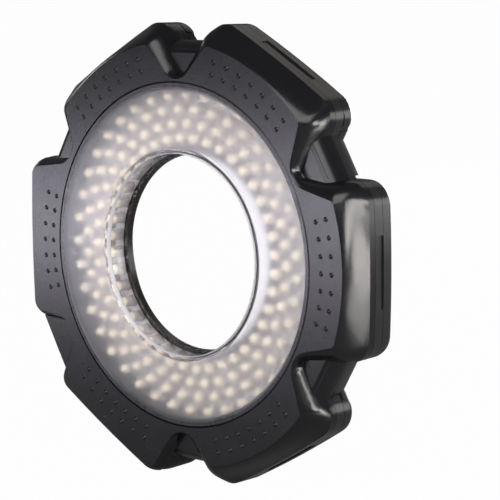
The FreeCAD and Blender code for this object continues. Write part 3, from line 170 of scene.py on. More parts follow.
class LightSizes(bpy.types.PropertyGroup):
    """Sizes of the fine pieces, the grain of the plastics and the place of the camera."""

    opening: bpy.props.FloatProperty(
        name="Opening", description="Radius of the wall round the lens opening",
        default=0.0438, unit="LENGTH")
    # The white lip inside the opening is a painted highlight
    rim_thick: bpy.props.FloatProperty(
        name="Rim thickness", description="Thickness of the white lip inside the opening",
        default=0.0004, unit="LENGTH")
    rim_deep: bpy.props.FloatProperty(
        name="Rim depth", description="Depth of the white lip inside the opening",
        default=0.0028, unit="LENGTH")
    led_radius: bpy.props.FloatProperty(
        name="LED radius", description="Half the width of an LED's straight body",
        default=0.00245, unit="LENGTH")
    led_flange: bpy.props.FloatProperty(
        name="LED flange", description="Radius of the flange at an LED's foot",
        default=0.0028, unit="LENGTH")
    led_flange_high: bpy.props.FloatProperty(
        name="Flange height", description="Height of that flange",
        default=0.001, unit="LENGTH")
    # Where an LED turns from its cream dome to its greyer body, which is partly painted shade
    led_straight: bpy.props.FloatProperty(
        name="LED straight part", description="Height of an LED up to where its colour changes",
        default=0.0061, unit="LENGTH")
    ring_first: bpy.props.FloatProperty(
        name="First ring", description="Radius of the innermost ring of LEDs",
        default=0.0496, unit="LENGTH")
    ring_pitch: bpy.props.FloatProperty(
        name="Ring pitch", description="Distance from one ring of LEDs to the next",
        default=0.00625, unit="LENGTH")
    crown: bpy.props.FloatProperty(
        name="Crown", description="How far the sloping sides of the front cover swell out",
        default=0.00045, unit="LENGTH")
    crease: bpy.props.FloatProperty(
        name="Crease", description="Depth of the crease where the sloping sides end",
        default=-0.0085, unit="LENGTH")
    face_chamfer: bpy.props.FloatProperty(
        name="Face chamfer", description="Depth of the chamfer round the face",
        default=0.0004, unit="LENGTH")
    cell_radius: bpy.props.FloatProperty(
        name="Cell radius", description="Half the width of a cell",
        default=0.00725, unit="LENGTH")
    cell_length: bpy.props.FloatProperty(
        name="Cell length", description="Length of a cell with its nub",
        default=0.0505, unit="LENGTH")
    cell_skin: bpy.props.FloatProperty(
        name="Cell skin", description="Thickness of a cell's sleeve and crimp",
        default=0.00025, unit="LENGTH")
    nub_radius: bpy.props.FloatProperty(
        name="Nub radius", description="Half the width of a cell's nub",
        default=0.00275, unit="LENGTH")
    nub_length: bpy.props.FloatProperty(
        name="Nub length", description="How far a cell's nub stands out",
        default=0.001, unit="LENGTH")
    band_long: bpy.props.FloatProperty(
        name="Band length", description="Length of the coloured band at a cell's nub end",
        default=0.011, unit="LENGTH")
    coil_long: bpy.props.FloatProperty(
        name="Spring length", description="Length of a squeezed contact spring",
        default=0.003, unit="LENGTH")
    coil_wide: bpy.props.FloatProperty(
        name="Spring foot", description="Radius of a contact spring at its plate",
        default=0.0038, unit="LENGTH")
    coil_narrow: bpy.props.FloatProperty(
        name="Spring tip", description="Radius of a contact spring at its cell",
        default=0.0020, unit="LENGTH")
    coil_wire: bpy.props.FloatProperty(
        name="Spring wire", description="Radius of a contact spring's wire",
        default=0.00026, unit="LENGTH")
    knob_out: bpy.props.FloatProperty(
        name="Knob reach", description="From the light's axis to the switch knob's outer end",
        default=0.098, unit="LENGTH")
    knob_long: bpy.props.FloatProperty(
        name="Knob length", description="Length of the switch knob, outwards",
        default=0.00485, unit="LENGTH")
    knob_low: bpy.props.FloatProperty(
        name="Knob start", description="Where the knob starts along its travel",
        default=-0.0033, unit="LENGTH")
    knob_wide: bpy.props.FloatProperty(
        name="Knob width", description="Width of the switch knob along its travel",
        default=0.0036, unit="LENGTH")
    screw_out: bpy.props.FloatProperty(
        name="Screw reach", description="From the light's axis to a case screw",
        default=0.083, unit="LENGTH")
    screw_head: bpy.props.FloatProperty(
        name="Screw head", description="Radius of a case screw's head",
        default=0.0025, unit="LENGTH")
    screw_head_high: bpy.props.FloatProperty(
        name="Screw head height", description="Height of a case screw's head",
        default=0.0016, unit="LENGTH")
    screw_shank: bpy.props.FloatProperty(
        name="Screw shank", description="Radius of a case screw's shank",
        default=0.00145, unit="LENGTH")
    screw_point: bpy.props.FloatProperty(
        name="Screw point", description="Length of the tapered end of a case screw",
        default=0.001, unit="LENGTH")
    screw_head_bevel: bpy.props.FloatProperty(
        name="Screw head bevel", description="Rounding of a screw's head",
        default=0.00045, unit="LENGTH")
    cross_wide: bpy.props.FloatProperty(
        name="Cross width", description="Width of a blade of the cross recess",
        default=0.0006, unit="LENGTH")
    cross_long: bpy.props.FloatProperty(
        name="Cross length", description="Length of a blade of the cross recess",
        default=0.0028, unit="LENGTH")
    cross_deep: bpy.props.FloatProperty(
        name="Cross depth", description="Depth of the cross recess",
        default=0.0009, unit="LENGTH")
    grain: bpy.props.FloatProperty(
        name="Grain", description="Number of grains to a metre in the moulded texture",
        default=2600.0, min=100.0)
    lens: bpy.props.FloatProperty(
        name="Focal length", description="Focal length on a 36 mm sensor",
        default=149.2, min=20.0)
    camera_azimuth: bpy.props.FloatProperty(
        name="Camera azimuth", description="How far round to the right the camera stands",
        default=math.radians(42.411), subtype="ANGLE")
    camera_elevation: bpy.props.FloatProperty(
        name="Camera elevation", description="How far up the camera stands",
        default=math.radians(8.142), subtype="ANGLE")
    camera_roll: bpy.props.FloatProperty(
        name="Camera roll", description="Turn of the picture about the line of sight",
        default=math.radians(-0.497), subtype="ANGLE")
    camera_place: bpy.props.FloatVectorProperty(
        name="Camera place", description="Where the camera stands",
        default=(0.6106, -0.6418, 0.1269), subtype="TRANSLATION")


class LightColours(bpy.types.PropertyGroup):
    """Colours of the finishes."""

    shell: bpy.props.FloatVectorProperty(
        name="Shell", description="Moulded front cover", size=3, min=0.0, max=1.0,
        default=(0.0068, 0.0066, 0.0080), subtype="COLOR")
    back: bpy.props.FloatVectorProperty(
        name="Back", description="Rear cover and battery doors", size=3, min=0.0, max=1.0,
        default=(0.0145, 0.0140, 0.0155), subtype="COLOR")
    bezel: bpy.props.FloatVectorProperty(
        name="Bezel", description="Ring round the window", size=3, min=0.0, max=1.0,
        default=(0.026, 0.024, 0.029), subtype="COLOR")
    collar: bpy.props.FloatVectorProperty(
        name="Collar", description="Collar behind the clear wall", size=3, min=0.0, max=1.0,
        default=(0.018, 0.016, 0.014), subtype="COLOR")
    window: bpy.props.FloatVectorProperty(
        name="Window", description="Clear plate over the LEDs", size=3, min=0.0, max=1.0,
        default=(0.955, 0.945, 0.965), subtype="COLOR")
    dome: bpy.props.FloatVectorProperty(
        name="LED dome", description="Tip of an LED", size=3, min=0.0, max=1.0,
        default=(0.93, 0.82, 0.62), subtype="COLOR")
    # The LED body's grey is partly its own tone and partly painted shade
    led_body_and_shade: bpy.props.FloatVectorProperty(
        name="LED body", description="Straight part of an LED", size=3, min=0.0, max=1.0,
        default=(0.60, 0.57, 0.54), subtype="COLOR")
    board: bpy.props.FloatVectorProperty(
        name="LED board", description="White board that carries the LEDs", size=3,
        min=0.0, max=1.0, default=(0.66, 0.64, 0.67), subtype="COLOR")
    band: bpy.props.FloatVectorProperty(
        name="Cell band", description="Coloured band at a cell's nub end", size=3,
        min=0.0, max=1.0, default=(0.55, 0.40, 0.16), subtype="COLOR")
    sleeve: bpy.props.FloatVectorProperty(
        name="Cell sleeve", description="Plastic sleeve of a cell", size=3,
        min=0.0, max=1.0, default=(0.035, 0.09, 0.16), subtype="COLOR")


# Modelling


def deselect():
    """Leave edit mode and select nothing."""
    if bpy.context.mode != "OBJECT":
        bpy.ops.object.mode_set(mode="OBJECT")
    bpy.ops.object.select_all(action="DESELECT")


def only(piece):
    """Select a piece alone and make it the active one."""
    deselect()
    piece.select_set(True)
    bpy.context.view_layer.objects.active = piece


def edit(piece):
    only(piece)
    bpy.ops.object.mode_set(mode="EDIT")


def rest():
    bpy.ops.object.mode_set(mode="OBJECT")


def settle(piece):
    """Put a piece's place into its mesh."""
    only(piece)
    bpy.ops.object.transform_apply(location=True, rotation=True, scale=True)


def pick_faces(test):
    """In edit mode, select only the faces whose centre and normal pass the test."""
    bpy.ops.mesh.select_mode(type="FACE")
    mesh = bmesh.from_edit_mesh(bpy.context.object.data)
    found = 0
    for face in mesh.faces:
        face.select_set(bool(test(face.calc_center_median(), face.normal)))
        found += face.select
    mesh.select_flush_mode()
    bmesh.update_edit_mesh(bpy.context.object.data)
    if not found:
        raise RuntimeError("no face of %s was picked" % bpy.context.object.name)


def tidy_normals(piece):
    """Merge doubles and point every face outwards."""
    edit(piece)
    bpy.ops.mesh.select_all(action="SELECT")
    bpy.ops.mesh.remove_doubles(threshold=MERGE)
    bpy.ops.mesh.normals_make_consistent(inside=False)
    rest()


def smooth(piece, angle=40.0):
    """Shade a piece smooth, apart from edges sharper than the angle in degrees."""
    only(piece)
    bpy.ops.object.shade_smooth_by_angle(angle=math.radians(angle))


def add_modifier(piece, kind, **values):
    """Add a modifier with the given values and apply it."""
    only(piece)
    modifier = piece.modifiers.new(kind.title(), kind)
    for name, value in values.items():
        setattr(modifier, name, value)
    bpy.ops.object.modifier_apply(modifier=modifier.name)


def turned(name, profile, steps, axis="Y"):
    """A lathe piece: a closed profile of (radius, height) points, spun about an axis."""
    deselect()
    bpy.ops.mesh.primitive_plane_add(size=0.001, location=(0, 0, 0))
    piece = bpy.context.object
    piece.name = name
    piece.data.name = name
    edit(piece)
    bpy.ops.mesh.select_mode(type="VERT")
    bpy.ops.mesh.select_all(action="SELECT")
    bpy.ops.mesh.merge(type="CENTER")
    direction = Vector((0, 1, 0)) if axis == "Y" else Vector((0, 0, 1))
    points = [Vector((radius, 0, 0)) + direction * high for radius, high in profile]
    bpy.ops.transform.translate(value=points[0])
    for start, end in zip(points, points[1:]):
        bpy.ops.mesh.extrude_region_move(TRANSFORM_OT_translate={"value": end - start})
    bpy.ops.mesh.select_all(action="SELECT")
    bpy.ops.mesh.spin(steps=steps, angle=math.tau, center=(0, 0, 0), axis=direction)
    rest()
    tidy_normals(piece)
    return piece


def round_ring(piece, angles):
    """Put copies of a piece at the given angles round the light's axis, joined into one."""
    twins = []
    for angle in angles:
        twin = piece.copy()
        twin.data = piece.data.copy()
        twin.data.transform(Matrix.Rotation(-angle, 4, "Y"))
        bpy.context.scene.collection.objects.link(twin)
        twins.append(twin)
    deselect()
    for twin in twins:
        twin.select_set(True)
    bpy.context.view_layer.objects.active = twins[0]
    bpy.ops.object.join()
    bpy.data.objects.remove(piece)
    return twins[0]


def dress(thing, *materials):
    """Give a piece or a node its materials, in place of those that it came with."""
    thing.data.materials.clear()
    for material in materials:
        thing.data.materials.append(material)


def stand_for(piece, name, node, body):
    """Name a piece and let it take the place of a node on the node's body."""
    piece.name = name
    piece.data.name = name
    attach(piece, body)
    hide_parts(node)


# Materials


class Finish:
    """A material and short ways to add and link its nodes."""

    def __init__(self, name):
        self.material = bpy.data.materials.new(name)
        self.material.use_nodes = True
        self.nodes = self.material.node_tree.nodes
        self.links = self.material.node_tree.links
        self.nodes.clear()
        self.out = self.node("ShaderNodeOutputMaterial")
        self.shader = self.node("ShaderNodeBsdfPrincipled")
        self.links.new(self.shader.outputs[0], self.out.inputs["Surface"])
        self.place = self.node("ShaderNodeTexCoord")

    def node(self, kind, **values):
        node = self.nodes.new(kind)
        for name, value in values.items():
            setattr(node, name, value)
        return node

    def set(self, **values):
        for name, value in values.items():
            socket = self.shader.inputs[name.replace("_", " ")]
            socket.default_value = (*value, 1.0) if hasattr(value, "__len__") else value

    def link(self, source, socket):
        self.links.new(source, self.shader.inputs[socket])

    def noise(self, scale, detail=2.0, rough=0.5):
        node = self.node("ShaderNodeTexNoise")
        node.inputs["Scale"].default_value = scale
        node.inputs["Detail"].default_value = detail
        node.inputs["Roughness"].default_value = rough
        self.links.new(self.place.outputs["Object"], node.inputs["Vector"])
        return node.outputs["Fac"]

    def ramp(self, source, low, high, start, end):
        """Map low..high of a value to start..end, with a soft start and end."""
        node = self.node("ShaderNodeMapRange", interpolation_type="SMOOTHSTEP")
        for socket, value in zip(("From Min", "From Max", "To Min", "To Max"),
                                 (low, high, start, end)):
            node.inputs[socket].default_value = value
        self.links.new(source, node.inputs["Value"])
        return node.outputs["Result"]

    def cloudy(self, clouds, start, end):
        """Take the middle of a noise's range to start..end."""
        return self.ramp(clouds, low=0.3, high=0.7, start=start, end=end)

    def blend(self, mask, first, second):
        """A colour or a number that goes from first to second as the mask goes from 0 to 1."""
        colour = hasattr(first, "__len__") or hasattr(second, "__len__")
        node = self.node("ShaderNodeMix", data_type="RGBA" if colour else "FLOAT")
        self.links.new(mask, node.inputs[0])
        sockets = (node.inputs[6], node.inputs[7]) if colour else (node.inputs[2], node.inputs[3])
        for socket, value in zip(sockets, (first, second)):
            if isinstance(value, bpy.types.NodeSocket):
                self.links.new(value, socket)
            else:
                socket.default_value = (*value, 1.0) if colour else value
        return node.outputs[2] if colour else node.outputs[0]

    def maths(self, kind, first, second=0.0):
        node = self.node("ShaderNodeMath", operation=kind)
        for socket, value in zip(node.inputs, (first, second)):
            if isinstance(value, bpy.types.NodeSocket):
                self.links.new(value, socket)
            else:
                socket.default_value = value
        return node.outputs[0]

    def axis(self, name, source="Object"):
        """One coordinate of the place, or of the normal, in the piece's own frame."""
        node = self.node("ShaderNodeSeparateXYZ")
        self.links.new(self.place.outputs[source], node.inputs[0])
        return node.outputs[name]

    def facing_front(self):
        """1 where the surface faces the same way as the light, 0 on its sides."""
        return self.ramp(self.axis("Y", "Normal"), low=-0.96, high=-0.80, start=1.0, end=0.0)

    def bump(self, height, distance, strength):
        node = self.node("ShaderNodeBump")
        node.inputs["Strength"].default_value = strength
        node.inputs["Distance"].default_value = distance
        self.links.new(height, node.inputs["Height"])
        self.links.new(node.outputs["Normal"], self.shader.inputs["Normal"])
        return self


def shell_plastic(sizes, colour):
    """Front cover: satin moulded grain on what faces forward, polished sides."""
    finish = Finish("front_plastic")
    finish.set(Base_Color=colour, IOR=1.46)
    front = finish.facing_front()
    clouds = finish.noise(scale=90.0, detail=4.0)
    satin = finish.cloudy(clouds, 0.26, 0.28)
    polished = finish.cloudy(clouds, 0.20, 0.24)
    finish.link(finish.blend(front, polished, satin), "Roughness")
    grain = finish.noise(scale=sizes.grain, detail=3.0, rough=0.6)
    waves = finish.noise(scale=sizes.grain * 0.25)
    height = finish.maths("ADD", finish.maths("MULTIPLY", grain, finish.blend(front, 0.06, 1.0)),
                          finish.maths("MULTIPLY", waves, 0.2))
    return finish.bump(height, distance=0.000012, strength=0.8).material


def back_plastic(sizes, name, colour, rough):
    """Rear cover and doors: fine spark texture behind, smoother and glossier sides."""
    finish = Finish(name)
    finish.set(Base_Color=colour, IOR=1.46)
    away = finish.ramp(finish.axis("Y", "Normal"), low=0.7, high=0.95, start=0.0, end=1.0)
    clouds = finish.noise(scale=70.0, detail=4.0)
    textured = finish.cloudy(clouds, rough, rough + 0.06)
    side = finish.cloudy(clouds, 0.2, 0.26)
    finish.link(finish.blend(away, side, textured), "Roughness")
    grain = finish.noise(scale=sizes.grain * 0.8, detail=4.0, rough=0.65)
    height = finish.maths("MULTIPLY", grain, finish.blend(away, 0.04, 1.0))
    return finish.bump(height, distance=0.00002, strength=0.9).material


def plain_plastic(name, colour, rough, grain, height=0.000008):
    """A small moulded piece: slight cloudiness in its gloss and a fine grain."""
    finish = Finish(name)
    finish.set(Base_Color=colour, IOR=1.46)
    clouds = finish.noise(scale=300.0, detail=3.0)
    finish.link(finish.cloudy(clouds, rough - 0.04, rough + 0.05), "Roughness")
    fine = finish.noise(scale=grain, detail=3.0, rough=0.6)
    return finish.bump(fine, distance=height, strength=0.7).material


def metal(name, colour, rough, grain=4000.0):
    """Plated or drawn metal with a faint grain."""
    finish = Finish(name)
    finish.set(Base_Color=colour, Metallic=1.0)
    clouds = finish.noise(scale=grain * 0.1, detail=3.0)
    finish.link(finish.cloudy(clouds, rough - 0.06, rough + 0.08), "Roughness")
    return finish.bump(finish.noise(scale=grain), distance=0.000004, strength=0.5).material


def window_plastic(colours):
    """Clear plate: frosted behind, less so in front, and clear round the opening."""
    finish = Finish("clear_plastic")
    finish.set(Base_Color=tuple(colours.window), IOR=1.49, Transmission_Weight=1.0)
    along = finish.axis("Y", "Normal")
    behind = finish.ramp(along, low=0.5, high=0.9, start=0.0, end=1.0)
    before = finish.ramp(along, low=-0.95, high=-0.85, start=1.0, end=0.0)
    frosted = finish.blend(behind, 0.03, 0.52)
    finish.link(finish.blend(before, frosted, 0.30), "Roughness")
    return finish.material


def led_plastic(sizes, colours):
    """LED: a cream dome that turns greyer down its straight body; the grey is partly the body's
    own tone and partly painted shade, darker further back.
    """
    finish = Finish("led_clear")
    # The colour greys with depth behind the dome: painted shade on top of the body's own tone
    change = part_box("led_ring_1")[1].y - sizes.led_straight
    down = finish.ramp(finish.axis("Y"), low=change + LED_SHADE_FADE[0], high=change + LED_SHADE_FADE[1],
                       start=0.0, end=1.0)
    finish.link(finish.blend(down, tuple(colours.dome), tuple(colours.led_body_and_shade)), "Base Color")
    finish.set(IOR=1.5, Roughness=0.22, Coat_Weight=0.4, Coat_Roughness=0.08)
    return finish.material


def board_lacquer(name, colour, track_colour):
    """Circuit board: lacquer over faint tracks."""
    finish = Finish(name)
    clouds = finish.noise(scale=420.0, detail=1.0, rough=0.3)
    tracks = finish.ramp(clouds, low=0.49, high=0.52, start=0.0, end=1.0)
    finish.link(finish.blend(tracks, colour, track_colour), "Base Color")
    finish.set(Roughness=0.38, IOR=1.5)
    return finish.bump(tracks, distance=0.00002, strength=0.5).material


# Stage


def soft_lamp(name, place, target, wide, high, watts, colour, roll):
    """A rectangular soft box that points at the target and is rolled on its own axis."""
    light = bpy.data.lights.new(name, "AREA")
    light.shape = "RECTANGLE"
    light.size = wide
    light.size_y = high
    light.energy = watts
    light.color = colour
    lamp = bpy.data.objects.new(name, light)
    bpy.context.scene.collection.objects.link(lamp)
    lamp.location = place
    aim = (Vector(target) - Vector(place)).to_track_quat("-Z", "Y")
    lamp.rotation_euler = (aim @ Quaternion((0, 0, 1), math.radians(roll))).to_euler()
    lamp.visible_camera = False


def background_rays(nodes, links):
    """How much of the white a ray sees: all straight on or through glass, a share in gloss."""
    path = nodes.new("ShaderNodeLightPath")
    dim = nodes.new("ShaderNodeMath")
    dim.operation = "MULTIPLY"
    dim.inputs[1].default_value = GLOSS_SHARE
    links.new(path.outputs["Is Glossy Ray"], dim.inputs[0])
    both = nodes.new("ShaderNodeMath")
    both.operation = "MAXIMUM"
    links.new(path.outputs["Is Camera Ray"], both.inputs[0])
    links.new(path.outputs["Is Transmission Ray"], both.inputs[1])
    total = nodes.new("ShaderNodeMath")
    total.operation = "MAXIMUM"
    links.new(both.outputs[0], total.inputs[0])
    links.new(dim.outputs[0], total.inputs[1])
    return total.outputs[0]


class OBJECT_OT_ring_light_stage(bpy.types.Operator):
    """Pale floor, white surroundings, soft lamps and the camera"""

    bl_idname = "object.ring_light_stage"
    bl_label = "Stage"

    def execute(self, context):
        self.floor()
        self.world(context.scene)
        for lamp in LAMPS:
            soft_lamp(*lamp)
        self.camera(context.scene)
        context.scene.view_settings.view_transform = "Standard"
        return {"FINISHED"}

    def floor(self):
        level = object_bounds()[0].z
        deselect()
        bpy.ops.mesh.primitive_plane_add(size=FLOOR_SIZE, location=(0, 0, level))
        floor = bpy.context.object
        floor.name = "floor"
        material = bpy.data.materials.new("floor_paper")
        material.use_nodes = True
        nodes = material.node_tree.nodes
        links = material.node_tree.links
        nodes.clear()
        out = nodes.new("ShaderNodeOutputMaterial")
        mix = nodes.new("ShaderNodeMixShader")
        paper = nodes.new("ShaderNodeBsdfDiffuse")
        paper.inputs["Color"].default_value = (*PAPER_GREY, 1.0)
        white = nodes.new("ShaderNodeEmission")
        white.inputs["Color"].default_value = (*WHITE, 1.0)
        share = nodes.new("ShaderNodeMath")
        share.operation = "MULTIPLY"
        share.inputs[1].default_value = FLOOR_WHITE
        links.new(background_rays(nodes, links), share.inputs[0])
        links.new(share.outputs[0], mix.inputs[0])
        links.new(paper.outputs[0], mix.inputs[1])
        links.new(white.outputs[0], mix.inputs[2])
        links.new(mix.outputs[0], out.inputs["Surface"])
        floor.data.materials.append(material)
        floor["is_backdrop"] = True

    def world(self, scene):
        world = bpy.data.worlds.new("studio")
        scene.world = world
        world.use_nodes = True
        nodes = world.node_tree.nodes
        links = world.node_tree.links
        nodes.clear()
        out = nodes.new("ShaderNodeOutputWorld")
        mix = nodes.new("ShaderNodeMixShader")
        dim = nodes.new("ShaderNodeBackground")
        dim.inputs["Color"].default_value = (*SKY, 1.0)
        dim.inputs["Strength"].default_value = WORLD_DIM
        white = nodes.new("ShaderNodeBackground")
        white.inputs["Color"].default_value = (*WHITE, 1.0)
        white.inputs["Strength"].default_value = FLOOR_WHITE
        links.new(background_rays(nodes, links), mix.inputs[0])
        links.new(dim.outputs[0], mix.inputs[1])
        links.new(white.outputs[0], mix.inputs[2])
        links.new(mix.outputs[0], out.inputs["Surface"])

    def camera(self, scene):
        sizes = scene.light_sizes
        azimuth = sizes.camera_azimuth
        elevation = sizes.camera_elevation
        back = Vector((math.sin(azimuth) * math.cos(elevation),
                       -math.cos(azimuth) * math.cos(elevation), math.sin(elevation)))
        level_right = (-back).cross(Vector((0, 0, 1))).normalized()
        level_up = level_right.cross(-back)
        turn = sizes.camera_roll
        right = level_right * math.cos(turn) + level_up * math.sin(turn)
        up = level_up * math.cos(turn) - level_right * math.sin(turn)
        data = bpy.data.cameras.new("camera")
        data.sensor_width = SENSOR
        data.lens = sizes.lens
        data.clip_start, data.clip_end = CLIP
        camera = bpy.data.objects.new("camera", data)
        scene.collection.objects.link(camera)
        frame_axes = Matrix((right, up, back)).transposed().to_4x4()
        camera.matrix_world = Matrix.Translation(sizes.camera_place) @ frame_axes
        scene.camera = camera


# Pieces


class OBJECT_OT_ring_light_shells(bpy.types.Operator):
    """Front cover, rear cover and battery doors in moulded black plastic"""

    bl_idname = "object.ring_light_shells"
    bl_label = "Shells and doors"

    def execute(self, context):
        sizes = context.scene.light_sizes
        colours = context.scene.light_colours
        nodes = frame["nodes"]
        shell = self.rounded_shell(sizes, nodes["front_cover"])
        dress(shell, shell_plastic(sizes, tuple(colours.shell)))
        stand_for(shell, "front_shell", "front_cover", "housing")
        dress(nodes["rear_cover"],
              back_plastic(sizes, "rear_plastic", tuple(colours.back), rough=0.42))
        door = back_plastic(sizes, "door_plastic", tuple(colours.back), rough=0.38)
        for name in DOORS:
            dress(nodes[name], door)
        dress(nodes["hinge_pins"], metal("pin_steel", PIN_STEEL, rough=0.25))
        return {"FINISHED"}

    def rounded_shell(self, sizes, node):
        """The front cover with crowned sloping sides, fullest a third of the way down."""
        shell = node.copy()
        shell.data = node.data.copy()
        bpy.context.scene.collection.objects.link(shell)
        only(shell)
        bpy.ops.mesh.customdata_custom_splitnormals_clear()
        edit(shell)
        bpy.ops.mesh.select_all(action="SELECT")
        bpy.ops.mesh.remove_doubles(threshold=MERGE)
        start = FRONT_FACE + sizes.face_chamfer
        length = sizes.crease - start
        for cut in CROWN_CUTS:
            bpy.ops.mesh.select_all(action="SELECT")
            bpy.ops.mesh.bisect(plane_co=(0, start + length * cut, 0), plane_no=(0, 1, 0))
        rest()
        crown = shell.vertex_groups.new(name="crown")
        for vertex in shell.data.vertices:
            along = (vertex.co.y - start) / length
            if 0.0 < along < 1.0 and SLOPE_NORMALS[0] < vertex.normal.y < SLOPE_NORMALS[1]:
                crown.add([vertex.index], CROWN_PEAK * along * (1.0 - along) ** 2, "REPLACE")
        add_modifier(shell, "DISPLACE", strength=sizes.crown, mid_level=0.0,
                     direction="NORMAL", vertex_group=crown.name)
        shell.vertex_groups.clear()
        smooth(shell, angle=18.0)
        return shell


class OBJECT_OT_ring_light_window(bpy.types.Operator):
    """Clear window, bezel ring, the dark collar behind it, and a white lip inside the opening that
    is a painted highlight
    """

    bl_idname = "object.ring_light_window"
    bl_label = "Window"

    def execute(self, context):
        colours = context.scene.light_colours
        nodes = frame["nodes"]
        dress(nodes["diffuser"], window_plastic(colours))
        # A white lip inside the opening: a painted highlight
        rim = turned("window_rim_highlight", self.lip_highlight_profile(context.scene.light_sizes), RIM_STEPS)
        smooth(rim)
        dress(rim, plain_plastic("rim_painted_highlight", RIM_HIGHLIGHT_WHITE, rough=0.30, grain=1500.0))
        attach(rim, "housing")
        dress(nodes["bezel_ring"],
              plain_plastic("bezel_plastic", tuple(colours.bezel), rough=0.30, grain=2500.0))
        dress(nodes["lens_collar"],
              plain_plastic("collar_plastic", tuple(colours.collar), rough=0.28, grain=2500.0))
        return {"FINISHED"}

    def lip_highlight_profile(self, sizes):
        """Section of the white lip inside the opening, a painted highlight, as radius and place
        along Y.
        """
        inside = sizes.opening
        thick = sizes.rim_thick
        front = FRONT_FACE
        back = front + sizes.rim_deep
        return [(inside, front + thick), (inside - thick * 0.5, front + thick * 0.3),
                (inside - thick, front + thick), (inside - thick, back - thick),
                (inside - thick * 0.5, back - thick * 0.3), (inside, back - thick),
                (inside, front + thick)]


class OBJECT_OT_ring_light_leds(bpy.types.Operator):
    """Four rings of domed LEDs on their white board"""

    bl_idname = "object.ring_light_leds"
    bl_label = "LEDs"

    def execute(self, context):
        sizes = context.scene.light_sizes
        colours = context.scene.light_colours
        material = led_plastic(sizes, colours)
        low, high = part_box("led_ring_1")
        step = math.tau / LEDS_PER_RING
        for number, node in enumerate(LED_RINGS):
            led = self.led(sizes, sizes.ring_first + sizes.ring_pitch * number, low.y, high.y)
            # Neighbouring rings are staggered by half a step
            first = step / 2.0 if number % 2 == 0 else 0.0
            ring = round_ring(led, [first + step * place for place in range(LEDS_PER_RING)])
            smooth(ring, angle=50.0)
            dress(ring, material)
            stand_for(ring, "led_domes_%d" % (number + 1), node, "housing")
        dress(frame["nodes"]["led_board"],
              board_lacquer("board_white", tuple(colours.board), TRACK_WHITE))
        return {"FINISHED"}

    def led(self, sizes, reach, tip, foot):
        """One LED on the X axis: flange, straight body and round dome."""
        radius = sizes.led_radius
        flange = sizes.led_flange_high
        deselect()
        bpy.ops.mesh.primitive_cylinder_add(
            vertices=LED_SIDES, radius=sizes.led_flange, depth=flange,
            location=(reach, foot - flange / 2.0, 0), rotation=(math.pi / 2, 0, 0))
        led = bpy.context.object
        settle(led)
        edit(led)
        pick_faces(lambda centre, normal: normal.y < -ALIGNED)
        bpy.ops.mesh.inset(thickness=sizes.led_flange - radius)
        straight = foot - tip - flange - radius
        bpy.ops.mesh.extrude_region_move(TRANSFORM_OT_translate={"value": (0, -straight, 0)})
        spread = radius
        risen = 0.0
        for degrees in DOME_CUTS:
            angle = math.radians(degrees)
            rise = radius * math.sin(angle) - risen
            ratio = radius * math.cos(angle) / spread
            bpy.ops.mesh.extrude_region_move(TRANSFORM_OT_translate={"value": (0, -rise, 0)})
            bpy.ops.transform.resize(value=(ratio, 1.0, ratio))
            risen += rise
            spread = radius * math.cos(angle)
        rest()
        return led


